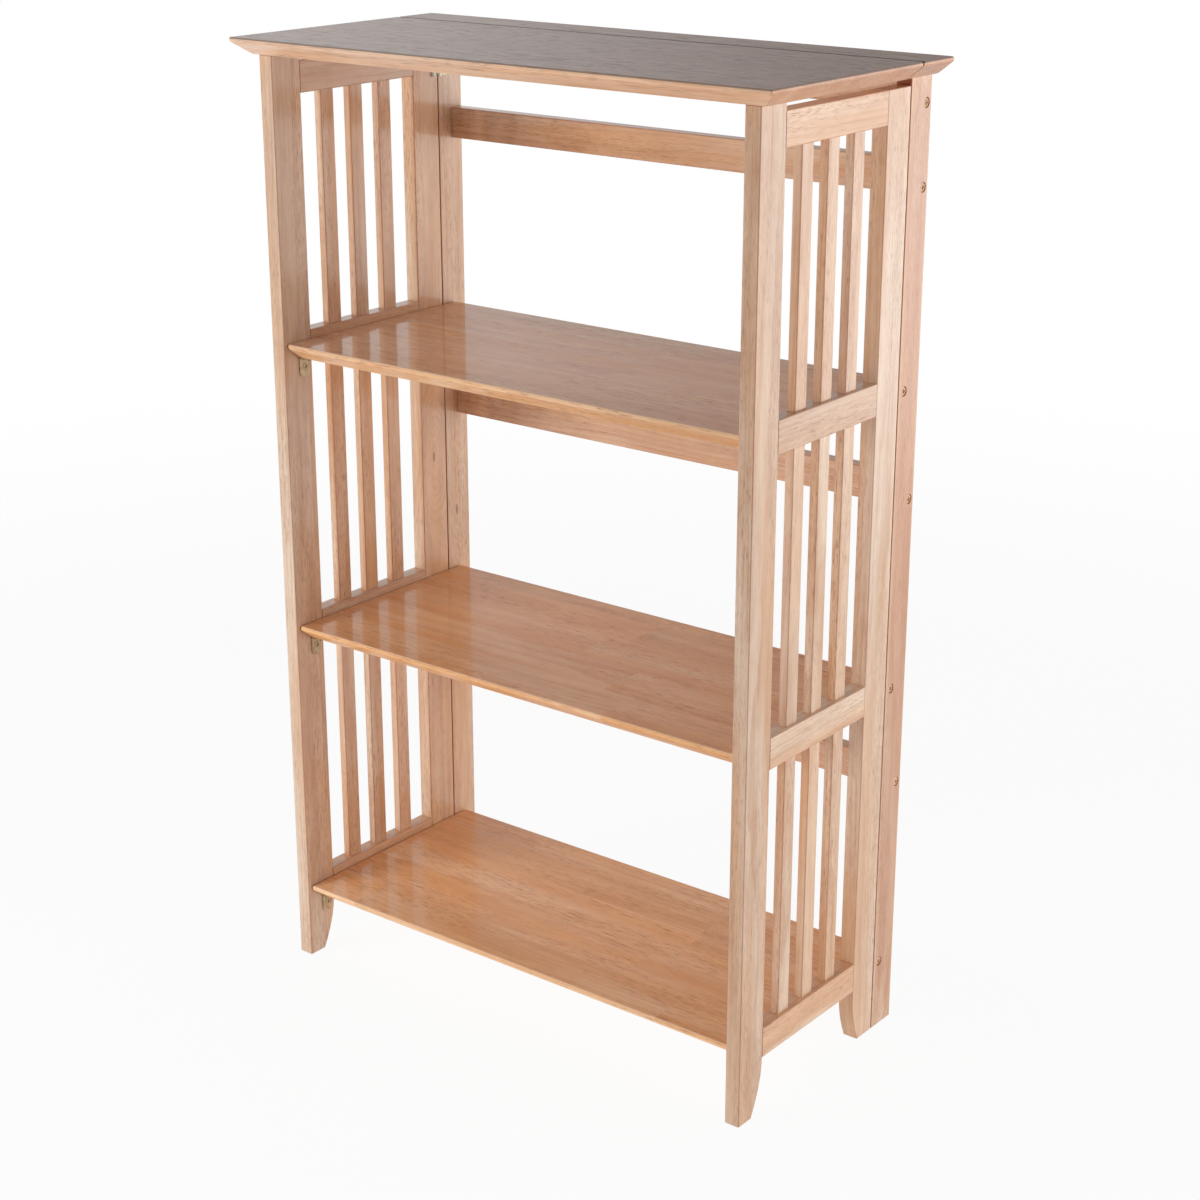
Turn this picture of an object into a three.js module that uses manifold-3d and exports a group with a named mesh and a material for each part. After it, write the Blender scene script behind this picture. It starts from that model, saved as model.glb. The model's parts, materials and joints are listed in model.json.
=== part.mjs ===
// A folding bookcase of pale hardwood: a back frame, two slatted side frames hinged to it,
// three shelves that swing up about bolts at their rear edge, and a top in two boards
// hinged under a seam.
// Lengths are in millimetres and +Z is up. The front faces -Y, and the origin is on the
// floor under the middle of the top.

import * as THREE from "three";
import { mergeVertices } from "three/addons/utils/BufferGeometryUtils.js";
import Module from "manifold-3d";

const wasm = await Module();
wasm.setup();

// Driving dimensions of the case
const topWidth = 690;
const topDepth = 322;
const caseHeight = 1080;
const topThickness = 18;
const endOverhang = 24;
const frontOverhang = 19.5;

// Side frames: stiles, rails and slats
const frameThickness = 18;
const stileWidth = 42;
const railHeight = 35;
const floorToRail = 65;
const shelfPitch = 330;
const topToRail = 8.5;
const slatsPerBay = 3;
const slatWidth = 20;
const slatThickness = 10;
const slatPitch = 45.4;
const slatTenon = 7;
const railTenonLength = 10;
const railTenonThickness = 8;
const railTenonShoulder = 5;
const frontFootTaper = 18.8;
const rearFootTaper = 13;
const frontFootHeight = 65;
const rearFootHeight = 52;
const footKneeShare = 0.55;

// Back frame
const uprightWidth = 39.5;
const backRailThickness = 17.5;
const backRailHeight = 35;
const topBackRailHeight = 34.7;
const backRailNames = ["lower", "middle", "upper"];
const lowerBackRailRise = 198.5;
const middleBackRailRise = 193.5;
const upperBackRailDrop = 84.5;
const screwBelowRailMiddle = 11;
const pocketRadius = 5.5;

// Shelves, in order from the floor
const shelfNames = ["lower", "middle", "upper"];
const shelfThickness = 18;
const shelfBelowRailTop = 10;
const shelfBehindStileFront = 4.5;
const shelfEndClearance = 1.2;
const pivotToShelfRear = 9;
const pivotToUprightFront = 11;

// Bevelled edge of the top and the shelves
const bevelRun = 17;
const noseHeight = 4.5;
const noseRadius = 1.8;

// Pivot bolts
const boltRadius = 3;
const boltHeadRadius = 4.8;
const boltHeadHeight = 2.5;
const boltHeadSink = 0.6;
const boltInShelf = 20;

// Hinges
const leafThickness = 1.2;
const barrelRadius = 2.4;
const leafWidth = 12;
const sideHingeLength = 38;
const topHingeLength = 50;
const topHingeFromMiddle = 190;
const upperHingeBelowStileTop = 0.5;
const lowerHingeAboveFloor = 26;
const foldClearance = 1;
const hingeScrewRadius = 1.7;
const hingeScrewEdge = 4;
const hingeScrewSpacingShare = 0.56;

// Plates that hold the shelves' front corners
const plateWidth = 15;
const plateHeight = 22;
const plateThickness = 1.5;
const plateReach = 14;
const plateCorner = 5;
const plateBehindStileFront = 21.5;
const plateScrewDrop = 10.5;
const plateScrewRadius = 2;

// Fits and softened edges
const seamGap = 0.8;
const hingeGap = 0.8;
const glueGap = 0.1;
const fitGap = 0.3;
const edgeRadius = 1.2;
const cutOverrun = 1;

// Facets of arcs and cylinders
const cornerSegments = 3;
const footSegments = 9;
const roundSegments = 28;

// Places that follow from the sizes above
const undersideOfTop = caseHeight - topThickness;
const caseHalfWidth = topWidth / 2 - endOverhang;
const innerHalfWidth = caseHalfWidth - frameThickness;
const frontY = -topDepth / 2;
const backY = topDepth / 2;
const uprightFrontY = backY - uprightWidth;
const stileFrontY = frontY + frontOverhang;
const stileRearY = uprightFrontY - hingeGap;
const railStartY = stileFrontY + stileWidth;
const railEndY = stileRearY - stileWidth;
const railLength = railEndY - railStartY;
const topRailZ = undersideOfTop - topToRail - railHeight;
const railLevels = [...shelfNames.map((_, i) => floorToRail + i * shelfPitch), topRailZ];
const shelfTops = shelfNames.map((_, i) => railLevels[i] + railHeight - shelfBelowRailTop);
const shelfFrontY = stileFrontY + shelfBehindStileFront;
const pivotY = uprightFrontY + pivotToUprightFront;
const pocketDepth = boltHeadSink + boltHeadHeight + fitGap;
const shelfRearY = pivotY + pivotToShelfRear;
const backRailY = backY - backRailThickness;
const [lowerShelfTop, middleShelfTop] = shelfTops;
const backRailHeights = [
  lowerShelfTop + lowerBackRailRise,
  middleShelfTop + middleBackRailRise,
  undersideOfTop - upperBackRailDrop - backRailHeight,
];

// A side frame that is folded in lies in front of the uprights, and the seam of the top is
// where the front board hangs just clear of it.
const hingePinOffset = fitGap + barrelRadius;
const sideHingeY = uprightFrontY - hingeGap / 2;
const foldedSideFrontY = sideHingeY - hingePinOffset - frameThickness;
const seamY = foldedSideFrontY - foldClearance + hingePinOffset;

const X = new THREE.Vector3(1, 0, 0);
const Y = new THREE.Vector3(0, 1, 0);
const Z = new THREE.Vector3(0, 0, 1);

// Makes a closed geometry into a solid that can be joined and cut.
function solid(geometry) {
  const bare = geometry.clone();
  bare.deleteAttribute("normal");
  bare.deleteAttribute("uv");
  const merged = mergeVertices(bare);
  return new wasm.Manifold(
    new wasm.Mesh({
      numProp: 3,
      vertProperties: merged.attributes.position.array,
      triVerts: new Uint32Array(merged.index.array),
    }),
  );
}

// Gives a solid's surface back as a geometry with flat faces.
function surface(made) {
  const mesh = made.getMesh();
  const geometry = new THREE.BufferGeometry();
  geometry.setAttribute("position", new THREE.BufferAttribute(mesh.vertProperties, 3));
  geometry.setIndex(new THREE.BufferAttribute(mesh.triVerts, 1));
  const flat = geometry.toNonIndexed();
  flat.computeVertexNormals();
  return flat;
}

// A box from its lowest corner and its size.
function box(x, y, z, width, depth, height) {
  const geometry = new THREE.BoxGeometry(width, depth, height);
  geometry.translate(x + width / 2, y + depth / 2, z + height / 2);
  return solid(geometry);
}

// A round bar along X from x = start.
function barAlongX(radius, start, length, y, z) {
  const geometry = new THREE.CylinderGeometry(radius, radius, length, roundSegments);
  geometry.rotateZ(Math.PI / 2);
  geometry.translate(start + length / 2, y, z);
  return solid(geometry);
}

// Extrudes a (y, z) outline from x = 0 along X.
function extrudeAlongX(outline, length) {
  const geometry = new THREE.ExtrudeGeometry(outline, {
    depth: length,
    bevelEnabled: false,
    curveSegments: cornerSegments,
  });
  return geometry.applyMatrix4(new THREE.Matrix4().makeBasis(Y, Z, X));
}

// Extrudes an (x, z) outline from y = 0 along Y.
function extrudeAlongY(outline, length) {
  const geometry = new THREE.ExtrudeGeometry(outline, {
    depth: length,
    bevelEnabled: false,
    curveSegments: cornerSegments,
  });
  geometry.applyMatrix4(new THREE.Matrix4().makeBasis(X, Z, Y.clone().negate()));
  return geometry.translate(0, length, 0);
}

// Extrudes an (x, y) outline from z = 0 along Z.
function extrudeAlongZ(outline, length) {
  return new THREE.ExtrudeGeometry(outline, {
    depth: length,
    bevelEnabled: false,
    curveSegments: cornerSegments,
  });
}

// A rectangle from (0, 0) with softened corners.
function softRectangle(width, height, radius) {
  const shape = new THREE.Shape();
  shape.moveTo(radius, 0);
  shape.lineTo(width - radius, 0);
  shape.quadraticCurveTo(width, 0, width, radius);
  shape.lineTo(width, height - radius);
  shape.quadraticCurveTo(width, height, width - radius, height);
  shape.lineTo(radius, height);
  shape.quadraticCurveTo(0, height, 0, height - radius);
  shape.lineTo(0, radius);
  shape.quadraticCurveTo(0, 0, radius, 0);
  return shape;
}

// A board's section with a bevelled nose at its start, and at its end too when both is true.
// The bevel climbs from the underside to a blunt nose just below the top face.
function nosedOutline(length, thickness, both) {
  const slope = Math.hypot(bevelRun, thickness - noseHeight);
  const easeRun = (noseRadius * bevelRun) / slope;
  const easeRise = (noseRadius * (thickness - noseHeight)) / slope;
  const noseZ = thickness - noseHeight;
  const shape = new THREE.Shape();
  shape.moveTo(bevelRun, 0);
  if (both) {
    shape.lineTo(length - bevelRun, 0);
    shape.lineTo(length - easeRun, noseZ - easeRise);
    shape.quadraticCurveTo(length, noseZ, length, noseZ + noseRadius);
    shape.lineTo(length, thickness - noseRadius);
    shape.quadraticCurveTo(length, thickness, length - noseRadius, thickness);
  } else {
    shape.lineTo(length, 0);
    shape.lineTo(length, thickness);
  }
  shape.lineTo(noseRadius, thickness);
  shape.quadraticCurveTo(0, thickness, 0, thickness - noseRadius);
  shape.lineTo(0, noseZ + noseRadius);
  shape.quadraticCurveTo(0, noseZ, easeRun, noseZ - easeRise);
  shape.lineTo(bevelRun, 0);
  return shape;
}

function wood(color) {
  return new THREE.MeshStandardMaterial({ color, roughness: 0.42, metalness: 0 });
}

function metal(color) {
  return new THREE.MeshStandardMaterial({ color, roughness: 0.38, metalness: 0.9 });
}

const paleWood = 0xdcb48e;
const shelfWood = 0xc98f66;
const topWood = 0xb99a80;
const plateMetal = 0xb9a27a;
const boltMetal = 0x9c8c6a;

function place(name, geometry, material, x, y, z) {
  const mesh = new THREE.Mesh(geometry, material);
  mesh.name = name;
  mesh.position.set(x, y, z);
  return mesh;
}

// The front board of the top: bevelled at the front and at both ends.
function topFrontBoard() {
  const depth = seamY - seamGap / 2 - frontY;
  const front = solid(extrudeAlongX(nosedOutline(depth, topThickness, false), topWidth));
  const ends = solid(extrudeAlongY(nosedOutline(topWidth, topThickness, true), depth));
  return surface(front.intersect(ends));
}

// The strip behind the seam: bevelled at both ends only.
function topRearStrip() {
  const depth = backY - seamY - seamGap / 2;
  return extrudeAlongY(nosedOutline(topWidth, topThickness, true), depth);
}

// A shelf: bevelled at the front, with a blind hole for a bolt at each end.
function shelf() {
  const depth = shelfRearY - shelfFrontY;
  const width = 2 * (innerHalfWidth - shelfEndClearance);
  const holeRadius = boltRadius + fitGap;
  const holeDepth = boltInShelf - shelfEndClearance + fitGap;
  const holeY = depth - pivotToShelfRear;
  let made = solid(extrudeAlongX(nosedOutline(depth, shelfThickness, false), width));
  for (const start of [-cutOverrun, width - holeDepth]) {
    const hole = barAlongX(holeRadius, start, holeDepth + cutOverrun, holeY, shelfThickness / 2);
    made = made.subtract(hole);
  }
  return surface(made);
}

// A stile of a side frame. Its foot narrows in a shallow curve: at its rear edge on the
// front stile, and at its front edge on the rear stile.
function stile(isFront, height) {
  const taper = isFront ? frontFootTaper : rearFootTaper;
  const footHeight = isFront ? frontFootHeight : rearFootHeight;
  const knee = footHeight * footKneeShare;
  const shape = new THREE.Shape();
  if (isFront) {
    shape.moveTo(0, 0);
    shape.lineTo(stileWidth - taper, 0);
    shape.quadraticCurveTo(stileWidth, knee, stileWidth, footHeight);
    shape.lineTo(stileWidth, height);
    shape.lineTo(0, height);
    shape.lineTo(0, 0);
  } else {
    shape.moveTo(taper, 0);
    shape.lineTo(stileWidth, 0);
    shape.lineTo(stileWidth, height);
    shape.lineTo(0, height);
    shape.lineTo(0, footHeight);
    shape.quadraticCurveTo(0, knee, taper, 0);
  }
  const geometry = new THREE.ExtrudeGeometry(shape, {
    depth: frameThickness - 2 * edgeRadius,
    bevelEnabled: true,
    bevelThickness: edgeRadius,
    bevelSize: edgeRadius,
    bevelOffset: -edgeRadius,
    bevelSegments: cornerSegments,
    curveSegments: footSegments,
  });
  geometry.translate(0, 0, edgeRadius - frameThickness / 2);
  geometry.applyMatrix4(new THREE.Matrix4().makeBasis(Y, Z, X));
  let made = solid(geometry);
  const mortiseDepth = railTenonLength + fitGap;
  const mortiseWidth = railTenonThickness + 2 * fitGap;
  const mortiseHeight = railHeight - 2 * railTenonShoulder + 2 * fitGap;
  const mortiseY = isFront ? stileWidth - mortiseDepth : -cutOverrun;
  for (const level of railLevels) {
    const mortiseZ = level + railTenonShoulder - fitGap;
    const mortise = box(
      -mortiseWidth / 2,
      mortiseY,
      mortiseZ,
      mortiseWidth,
      mortiseDepth + cutOverrun,
      mortiseHeight,
    );
    made = made.subtract(mortise);
  }
  return surface(made);
}

// Distances along a rail from its front end to the middle of each slat.
function slatCentres() {
  const centres = [];
  for (let i = 0; i < slatsPerBay; i += 1)
    centres.push(railLength / 2 + (i - (slatsPerBay - 1) / 2) * slatPitch);
  return centres;
}

// A rail with a tenon at each end, and a mortise for each slat that stands on it or hangs
// from it. Its local origin is at the front stile's face.
function rail(slatsAbove, slatsBelow) {
  const length = railLength - 2 * glueGap;
  const body = extrudeAlongY(softRectangle(frameThickness, railHeight, edgeRadius), length);
  body.translate(-frameThickness / 2, glueGap, 0);
  const tenons = box(
    -railTenonThickness / 2,
    glueGap - railTenonLength,
    railTenonShoulder,
    railTenonThickness,
    length + 2 * railTenonLength,
    railHeight - 2 * railTenonShoulder,
  );
  let made = solid(body).add(tenons);
  const mortiseWidth = slatWidth + 2 * fitGap;
  const mortiseThickness = slatThickness + 2 * fitGap;
  const mortiseDepth = slatTenon + fitGap;
  const starts = [];
  if (slatsAbove) starts.push(railHeight - mortiseDepth);
  if (slatsBelow) starts.push(-cutOverrun);
  for (const start of starts)
    for (const centre of slatCentres()) {
      const mortise = box(
        -mortiseThickness / 2,
        centre - mortiseWidth / 2,
        start,
        mortiseThickness,
        mortiseWidth,
        mortiseDepth + cutOverrun,
      );
      made = made.subtract(mortise);
    }
  return surface(made);
}

// A slat between two rails, housed in both. Its local origin is its lower end.
function slat(bayHeight) {
  const outline = softRectangle(slatThickness, slatWidth, edgeRadius);
  const geometry = extrudeAlongZ(outline, bayHeight + 2 * slatTenon);
  return geometry.translate(-slatThickness / 2, -slatWidth / 2, 0);
}

// A rear upright, with a pocket in its outer face for each bolt and each rail screw.
// outward is -1 on the left and 1 on the right.
function upright(outward) {
  const height = undersideOfTop - glueGap;
  const outline = softRectangle(frameThickness, uprightWidth, edgeRadius);
  const geometry = extrudeAlongZ(outline, height);
  geometry.translate(-frameThickness / 2, 0, 0);
  let made = solid(geometry);
  const outer = (outward * frameThickness) / 2;
  const pocketLength = pocketDepth + cutOverrun;
  const pocketStart = outward > 0 ? outer - pocketDepth : outer - cutOverrun;
  const holeStart = -frameThickness / 2 - cutOverrun;
  const holeLength = frameThickness + 2 * cutOverrun;
  for (const top of shelfTops) {
    const z = top - shelfThickness / 2;
    const y = pivotToUprightFront;
    made = made.subtract(barAlongX(pocketRadius, pocketStart, pocketLength, y, z));
    made = made.subtract(barAlongX(boltRadius + fitGap, holeStart, holeLength, y, z));
  }
  const screwY = uprightWidth - backRailThickness / 2;
  for (const z of railScrewHeights())
    made = made.subtract(barAlongX(pocketRadius, pocketStart, pocketLength, screwY, z));
  return surface(made);
}

// Heights of the screws that hold the back rails.
function railScrewHeights() {
  const heights = backRailHeights.map((z) => z + backRailHeight / 2 - screwBelowRailMiddle);
  heights.push(undersideOfTop - topBackRailHeight / 2 - screwBelowRailMiddle);
  return heights;
}

// A rail between the rear uprights.
function backRail(height) {
  const length = 2 * (innerHalfWidth - glueGap);
  return extrudeAlongX(softRectangle(backRailThickness, height, edgeRadius), length);
}

// A bolt that a shelf turns on, along X from the outer face of its head.
function pivotBolt() {
  const shankLength = frameThickness - boltHeadSink + boltInShelf;
  const head = barAlongX(boltHeadRadius, 0, boltHeadHeight, 0, 0);
  const shank = barAlongX(boltRadius, 0, shankLength, 0, 0);
  return surface(head.add(shank));
}

// A butt hinge opened flat. Its pin runs along Z, the wood is on its -X side, and its
// leaves reach along Y to both sides of the pin.
function hinge(length) {
  const leaves = box(
    fitGap,
    -leafWidth,
    -length / 2,
    leafThickness,
    2 * leafWidth,
    length,
  );
  const barrel = new THREE.CylinderGeometry(barrelRadius, barrelRadius, length, roundSegments);
  barrel.rotateX(Math.PI / 2);
  barrel.translate(hingePinOffset, 0, 0);
  let made = leaves.add(solid(barrel));
  for (const side of [-1, 1])
    for (const end of [-1, 1]) {
      const y = side * (leafWidth - hingeScrewEdge);
      const z = (end * length * hingeScrewSpacingShare) / 2;
      const holeLength = leafThickness + 2 * cutOverrun;
      made = made.subtract(barAlongX(hingeScrewRadius, fitGap - cutOverrun, holeLength, y, z));
    }
  return surface(made);
}

// An angle plate: one leg is screwed to the stile's inner face, on the -X side, and the
// other reaches under the shelf. Its top is at z = 0.
function shelfPlate() {
  const outline = new THREE.Shape();
  const half = plateWidth / 2;
  outline.moveTo(-half, 0);
  outline.lineTo(-half, plateCorner - plateHeight);
  outline.quadraticCurveTo(-half, -plateHeight, plateCorner - half, -plateHeight);
  outline.lineTo(half - plateCorner, -plateHeight);
  outline.quadraticCurveTo(half, -plateHeight, half, plateCorner - plateHeight);
  outline.lineTo(half, 0);
  outline.lineTo(-half, 0);
  const leg = extrudeAlongX(outline, plateThickness);
  leg.translate(fitGap, 0, 0);
  const shelfLeg = box(
    fitGap,
    -half,
    -plateThickness,
    plateReach,
    plateWidth,
    plateThickness,
  );
  const holeLength = plateThickness + 2 * cutOverrun;
  const hole = barAlongX(plateScrewRadius, fitGap - cutOverrun, holeLength, 0, -plateScrewDrop);
  return surface(solid(leg).add(shelfLeg).subtract(hole));
}

// One side frame with its shelf plates, on the left for -1 and on the right for 1.
function sideFrame(outward) {
  const side = outward < 0 ? "left" : "right";
  const group = new THREE.Group();
  group.position.x = outward * (caseHalfWidth - frameThickness / 2);
  const frontHeight = undersideOfTop - fitGap;
  const rearHeight = topRailZ + railHeight;
  const levelNames = [...shelfNames, "top"];
  group.add(place(side + "_front_stile", stile(true, frontHeight), wood(paleWood), 0, stileFrontY, 0));
  group.add(place(side + "_rear_stile", stile(false, rearHeight), wood(paleWood), 0, railEndY, 0));
  railLevels.forEach((z, level) => {
    const isTop = level === railLevels.length - 1;
    const name = side + "_" + levelNames[level] + "_rail";
    group.add(place(name, rail(!isTop, level > 0), wood(paleWood), 0, railStartY, z));
    if (isTop) return;
    const bayHeight = railLevels[level + 1] - z - railHeight;
    slatCentres().forEach((centre, i) => {
      const slatName = side + "_" + levelNames[level] + "_slat_" + (i + 1);
      const slatZ = z + railHeight - slatTenon;
      group.add(place(slatName, slat(bayHeight), wood(paleWood), 0, railStartY + centre, slatZ));
    });
    const plateName = side + "_" + levelNames[level] + "_shelf_plate";
    const plateX = (-outward * frameThickness) / 2;
    const plateY = stileFrontY + plateBehindStileFront + plateWidth / 2;
    const plateZ = shelfTops[level] - shelfThickness - fitGap;
    const plate = place(plateName, shelfPlate(), metal(plateMetal), plateX, plateY, plateZ);
    plate.rotation.z = outward > 0 ? Math.PI : 0;
    group.add(plate);
  });
  return group;
}

// The uprights, the back rails and the strip of the top that they carry.
function backFrame() {
  const group = new THREE.Group();
  for (const outward of [-1, 1]) {
    const name = outward < 0 ? "left_rear_upright" : "right_rear_upright";
    const x = outward * (caseHalfWidth - frameThickness / 2);
    group.add(place(name, upright(outward), wood(paleWood), x, uprightFrontY, 0));
  }
  const railX = glueGap - innerHalfWidth;
  backRailHeights.forEach((z, i) => {
    const name = backRailNames[i] + "_back_rail";
    group.add(place(name, backRail(backRailHeight), wood(paleWood), railX, backRailY, z));
  });
  const topRail = backRail(topBackRailHeight);
  const underStrip = undersideOfTop - topBackRailHeight - glueGap;
  group.add(place("top_back_rail", topRail, wood(paleWood), railX, backRailY, underStrip));
  const stripY = seamY + seamGap / 2;
  const strip = place("top_rear_strip", topRearStrip(), wood(topWood), -topWidth / 2, stripY, 0);
  strip.position.z = undersideOfTop;
  group.add(strip);
  return group;
}

// Bolts at the rear corners of the shelves.
function pivotBolts() {
  const group = new THREE.Group();
  shelfTops.forEach((top, i) => {
    for (const outward of [-1, 1]) {
      const side = outward < 0 ? "left" : "right";
      const name = side + "_" + shelfNames[i] + "_pivot_bolt";
      const x = outward * (caseHalfWidth - boltHeadSink);
      const z = top - shelfThickness / 2;
      const bolt = place(name, pivotBolt(), metal(boltMetal), x, pivotY, z);
      bolt.rotation.z = outward > 0 ? Math.PI : 0;
      group.add(bolt);
    }
  });
  return group;
}

// Two hinges on each side, and two under the seam of the top.
function hinges() {
  const group = new THREE.Group();
  const stileTop = topRailZ + railHeight;
  const upperZ = stileTop - upperHingeBelowStileTop - sideHingeLength / 2;
  const lowerZ = lowerHingeAboveFloor + sideHingeLength / 2;
  const heights = [lowerZ, upperZ];
  const heightNames = ["lower", "upper"];
  for (const outward of [-1, 1]) {
    const side = outward < 0 ? "left" : "right";
    heights.forEach((z, i) => {
      const name = side + "_" + heightNames[i] + "_hinge";
      const x = outward * innerHalfWidth;
      const made = place(name, hinge(sideHingeLength), metal(plateMetal), x, sideHingeY, z);
      made.rotation.z = outward > 0 ? Math.PI : 0;
      group.add(made);
    });
    const topX = outward * topHingeFromMiddle;
    const topHinge = hinge(topHingeLength);
    const made = place(side + "_top_hinge", topHinge, metal(plateMetal), topX, seamY, undersideOfTop);
    made.rotation.y = Math.PI / 2;
    group.add(made);
  }
  return group;
}

// The three shelves, lying on their plates.
function shelves() {
  const group = new THREE.Group();
  const x = shelfEndClearance - innerHalfWidth;
  shelfTops.forEach((top, i) => {
    const z = top - shelfThickness;
    group.add(place(shelfNames[i] + "_shelf", shelf(), wood(shelfWood), x, shelfFrontY, z));
  });
  return group;
}

const bookcase = new THREE.Group();
bookcase.add(backFrame());
bookcase.add(sideFrame(-1));
bookcase.add(sideFrame(1));
bookcase.add(pivotBolts());
bookcase.add(hinges());
bookcase.add(shelves());
bookcase.add(
  place("top_front_board", topFrontBoard(), wood(topWood), -topWidth / 2, frontY, undersideOfTop),
);

export default bookcase;
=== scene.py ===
"""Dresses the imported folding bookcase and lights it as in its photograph.

Lengths are in metres, +Z is up and the front faces -Y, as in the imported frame. Each board,
hinge, plate and bolt is a new surface worked out with numpy in the place of its CAD node.
"""

from __future__ import annotations

import json
import logging
import math
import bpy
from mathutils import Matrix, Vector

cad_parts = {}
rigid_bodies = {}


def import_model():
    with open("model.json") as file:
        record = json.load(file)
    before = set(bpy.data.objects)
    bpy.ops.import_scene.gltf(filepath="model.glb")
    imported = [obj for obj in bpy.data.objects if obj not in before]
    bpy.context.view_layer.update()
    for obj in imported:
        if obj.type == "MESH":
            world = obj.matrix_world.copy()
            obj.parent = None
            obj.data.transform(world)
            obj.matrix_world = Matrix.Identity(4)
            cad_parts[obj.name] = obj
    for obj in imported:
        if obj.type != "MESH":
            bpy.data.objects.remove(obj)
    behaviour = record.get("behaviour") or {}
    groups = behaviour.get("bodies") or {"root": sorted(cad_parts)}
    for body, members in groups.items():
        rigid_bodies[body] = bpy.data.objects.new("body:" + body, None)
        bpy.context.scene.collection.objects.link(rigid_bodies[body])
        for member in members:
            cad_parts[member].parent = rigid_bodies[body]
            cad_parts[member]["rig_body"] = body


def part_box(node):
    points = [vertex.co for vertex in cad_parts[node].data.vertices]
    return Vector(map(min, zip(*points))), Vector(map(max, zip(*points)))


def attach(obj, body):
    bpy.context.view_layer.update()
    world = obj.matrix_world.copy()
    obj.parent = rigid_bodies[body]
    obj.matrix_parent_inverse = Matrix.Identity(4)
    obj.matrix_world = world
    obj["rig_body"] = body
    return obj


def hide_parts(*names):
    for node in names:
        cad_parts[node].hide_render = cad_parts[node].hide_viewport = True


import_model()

import zlib
from collections.abc import Iterable, Sequence
from dataclasses import dataclass, field
from enum import Enum

import bpy
import numpy as np
import numpy.typing as npt
from mathutils import Vector
from mathutils.geometry import tessellate_polygon

Array = npt.NDArray[np.float64]
Colour = tuple[float, float, float]
Triple = tuple[float, float, float]
Range = tuple[float, float]
Socket = bpy.types.NodeSocket
log = logging.getLogger("bookcase")

# Points and normals merge where they agree at these steps to the metre and to the unit
POINT_STEPS = 1e7
NORMAL_STEPS = 1e3
# Lengths and areas under these are none, and heights are told apart by this many digits
NO_LENGTH = 1e-9
NO_AREA = 1e-12
HEIGHT_DIGITS = 9
# A row of a prism's end counts as arris where its normal leans between these
ROUNDED_LEAN = (0.05, 0.98)

# The levels of the case from the floor up, and each shelf's painted light: the lower the shelf, the
# brighter its wood is painted
LEVELS = ("lower", "middle", "upper", "top")
SHELVES = LEVELS[:-1]
SHELF_PAINTED_LIGHT = {"lower": 1.13, "middle": 1.08, "upper": 1.02}


class Side(Enum):
    """The left or the right of the bookcase, by the sign of its X."""

    LEFT = -1
    RIGHT = 1

    @property
    def word(self) -> str:
        """The side's name as the nodes have it."""
        return self.name.lower()


class Edge(Enum):
    """How an edge of a flat board is worked."""

    SQUARE = "square"
    NOSED = "nosed"


class Grain(Enum):
    """Which way the grain of a board runs: the axes along, across and through it."""

    ALONG_X = (0, 1, 2)
    RAIL_X = (0, 2, 1)
    ALONG_Y = (1, 2, 0)
    ALONG_Z = (2, 1, 0)


# Surfaces


@dataclass
class Shell:
    """A closed surface before it becomes a mesh.

    Points and normals are (n, 3), and faces are lists of point numbers. Arris is 1 where a
    board's edge is rounded and 2 on its flat upper face. On metal it says how much painted
    shade and grime darken it there: in recesses, grooves, at feet and cut ends.
    """

    points: Array
    normals: Array
    arris: Array
    faces: list[list[int]]

    def placed(
        self, axes: Sequence[int] = (0, 1, 2), origin: Sequence[float] = (0, 0, 0)
    ) -> Shell:
        """Puts the shell's local axes on the axes of the frame.

        Args:
            axes: the frame axis that each local axis lies on.
            origin: where the local origin goes.

        Returns:
            The shell in its place.
        """
        points = np.zeros_like(self.points)
        normals = np.zeros_like(self.normals)
        points[:, list(axes)] = self.points
        normals[:, list(axes)] = self.normals
        return Shell(points + np.asarray(origin, float), normals, self.arris, self.faces)

    def mirrored(self) -> Shell:
        """The shell with its local axis 0 turned round, and its faces outwards again."""
        flip = np.array([-1.0, 1.0, 1.0])
        return Shell(self.points * flip, self.normals * flip, self.arris, self.faces).clean()

    def clean(self) -> Shell:
        """Merges points that share place and normal, and turns every face outwards.

        Returns:
            The shell with no doubled points, whose faces agree with its normals.
        """
        keys = np.hstack([self.points * POINT_STEPS, self.normals * NORMAL_STEPS])
        keys = np.round(keys).astype(np.int64)
        _, first, inverse = np.unique(keys, axis=0, return_index=True, return_inverse=True)
        inverse = inverse.reshape(-1)
        points = self.points[first]
        normals = self.normals[first]
        faces = []
        for face in self.faces:
            kept = list(dict.fromkeys(inverse[face].tolist()))
            if len(kept) < 3:
                continue
            corners = points[kept]
            area = np.cross(corners, np.roll(corners, -1, axis=0)).sum(0)
            if area @ normals[kept].sum(0) < 0:
                kept.reverse()
            faces.append(kept)
        return Shell(points, normals, self.arris[first], faces)


def joined(shells: Iterable[Shell]) -> Shell:
    """Several shells as one."""
    parts = list(shells)
    starts = np.cumsum([0] + [len(s.points) for s in parts[:-1]])
    faces = [[i + int(start) for i in face] for s, start in zip(parts, starts) for face in s.faces]
    return Shell(
        np.vstack([s.points for s in parts]),
        np.vstack([s.normals for s in parts]),
        np.concatenate([s.arris for s in parts]),
        faces,
    )


def band_faces(rows: int, columns: int) -> list[list[int]]:
    """Quads between neighbouring rows of a grid that closes on itself round each row."""
    row, column = np.meshgrid(np.arange(rows - 1), np.arange(columns), indexing="ij")
    after = (column + 1) % columns
    quads = np.stack(
        [row * columns + column, row * columns + after,
         (row + 1) * columns + after, (row + 1) * columns + column], axis=-1)
    return quads.reshape(-1, 4).tolist()


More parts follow.
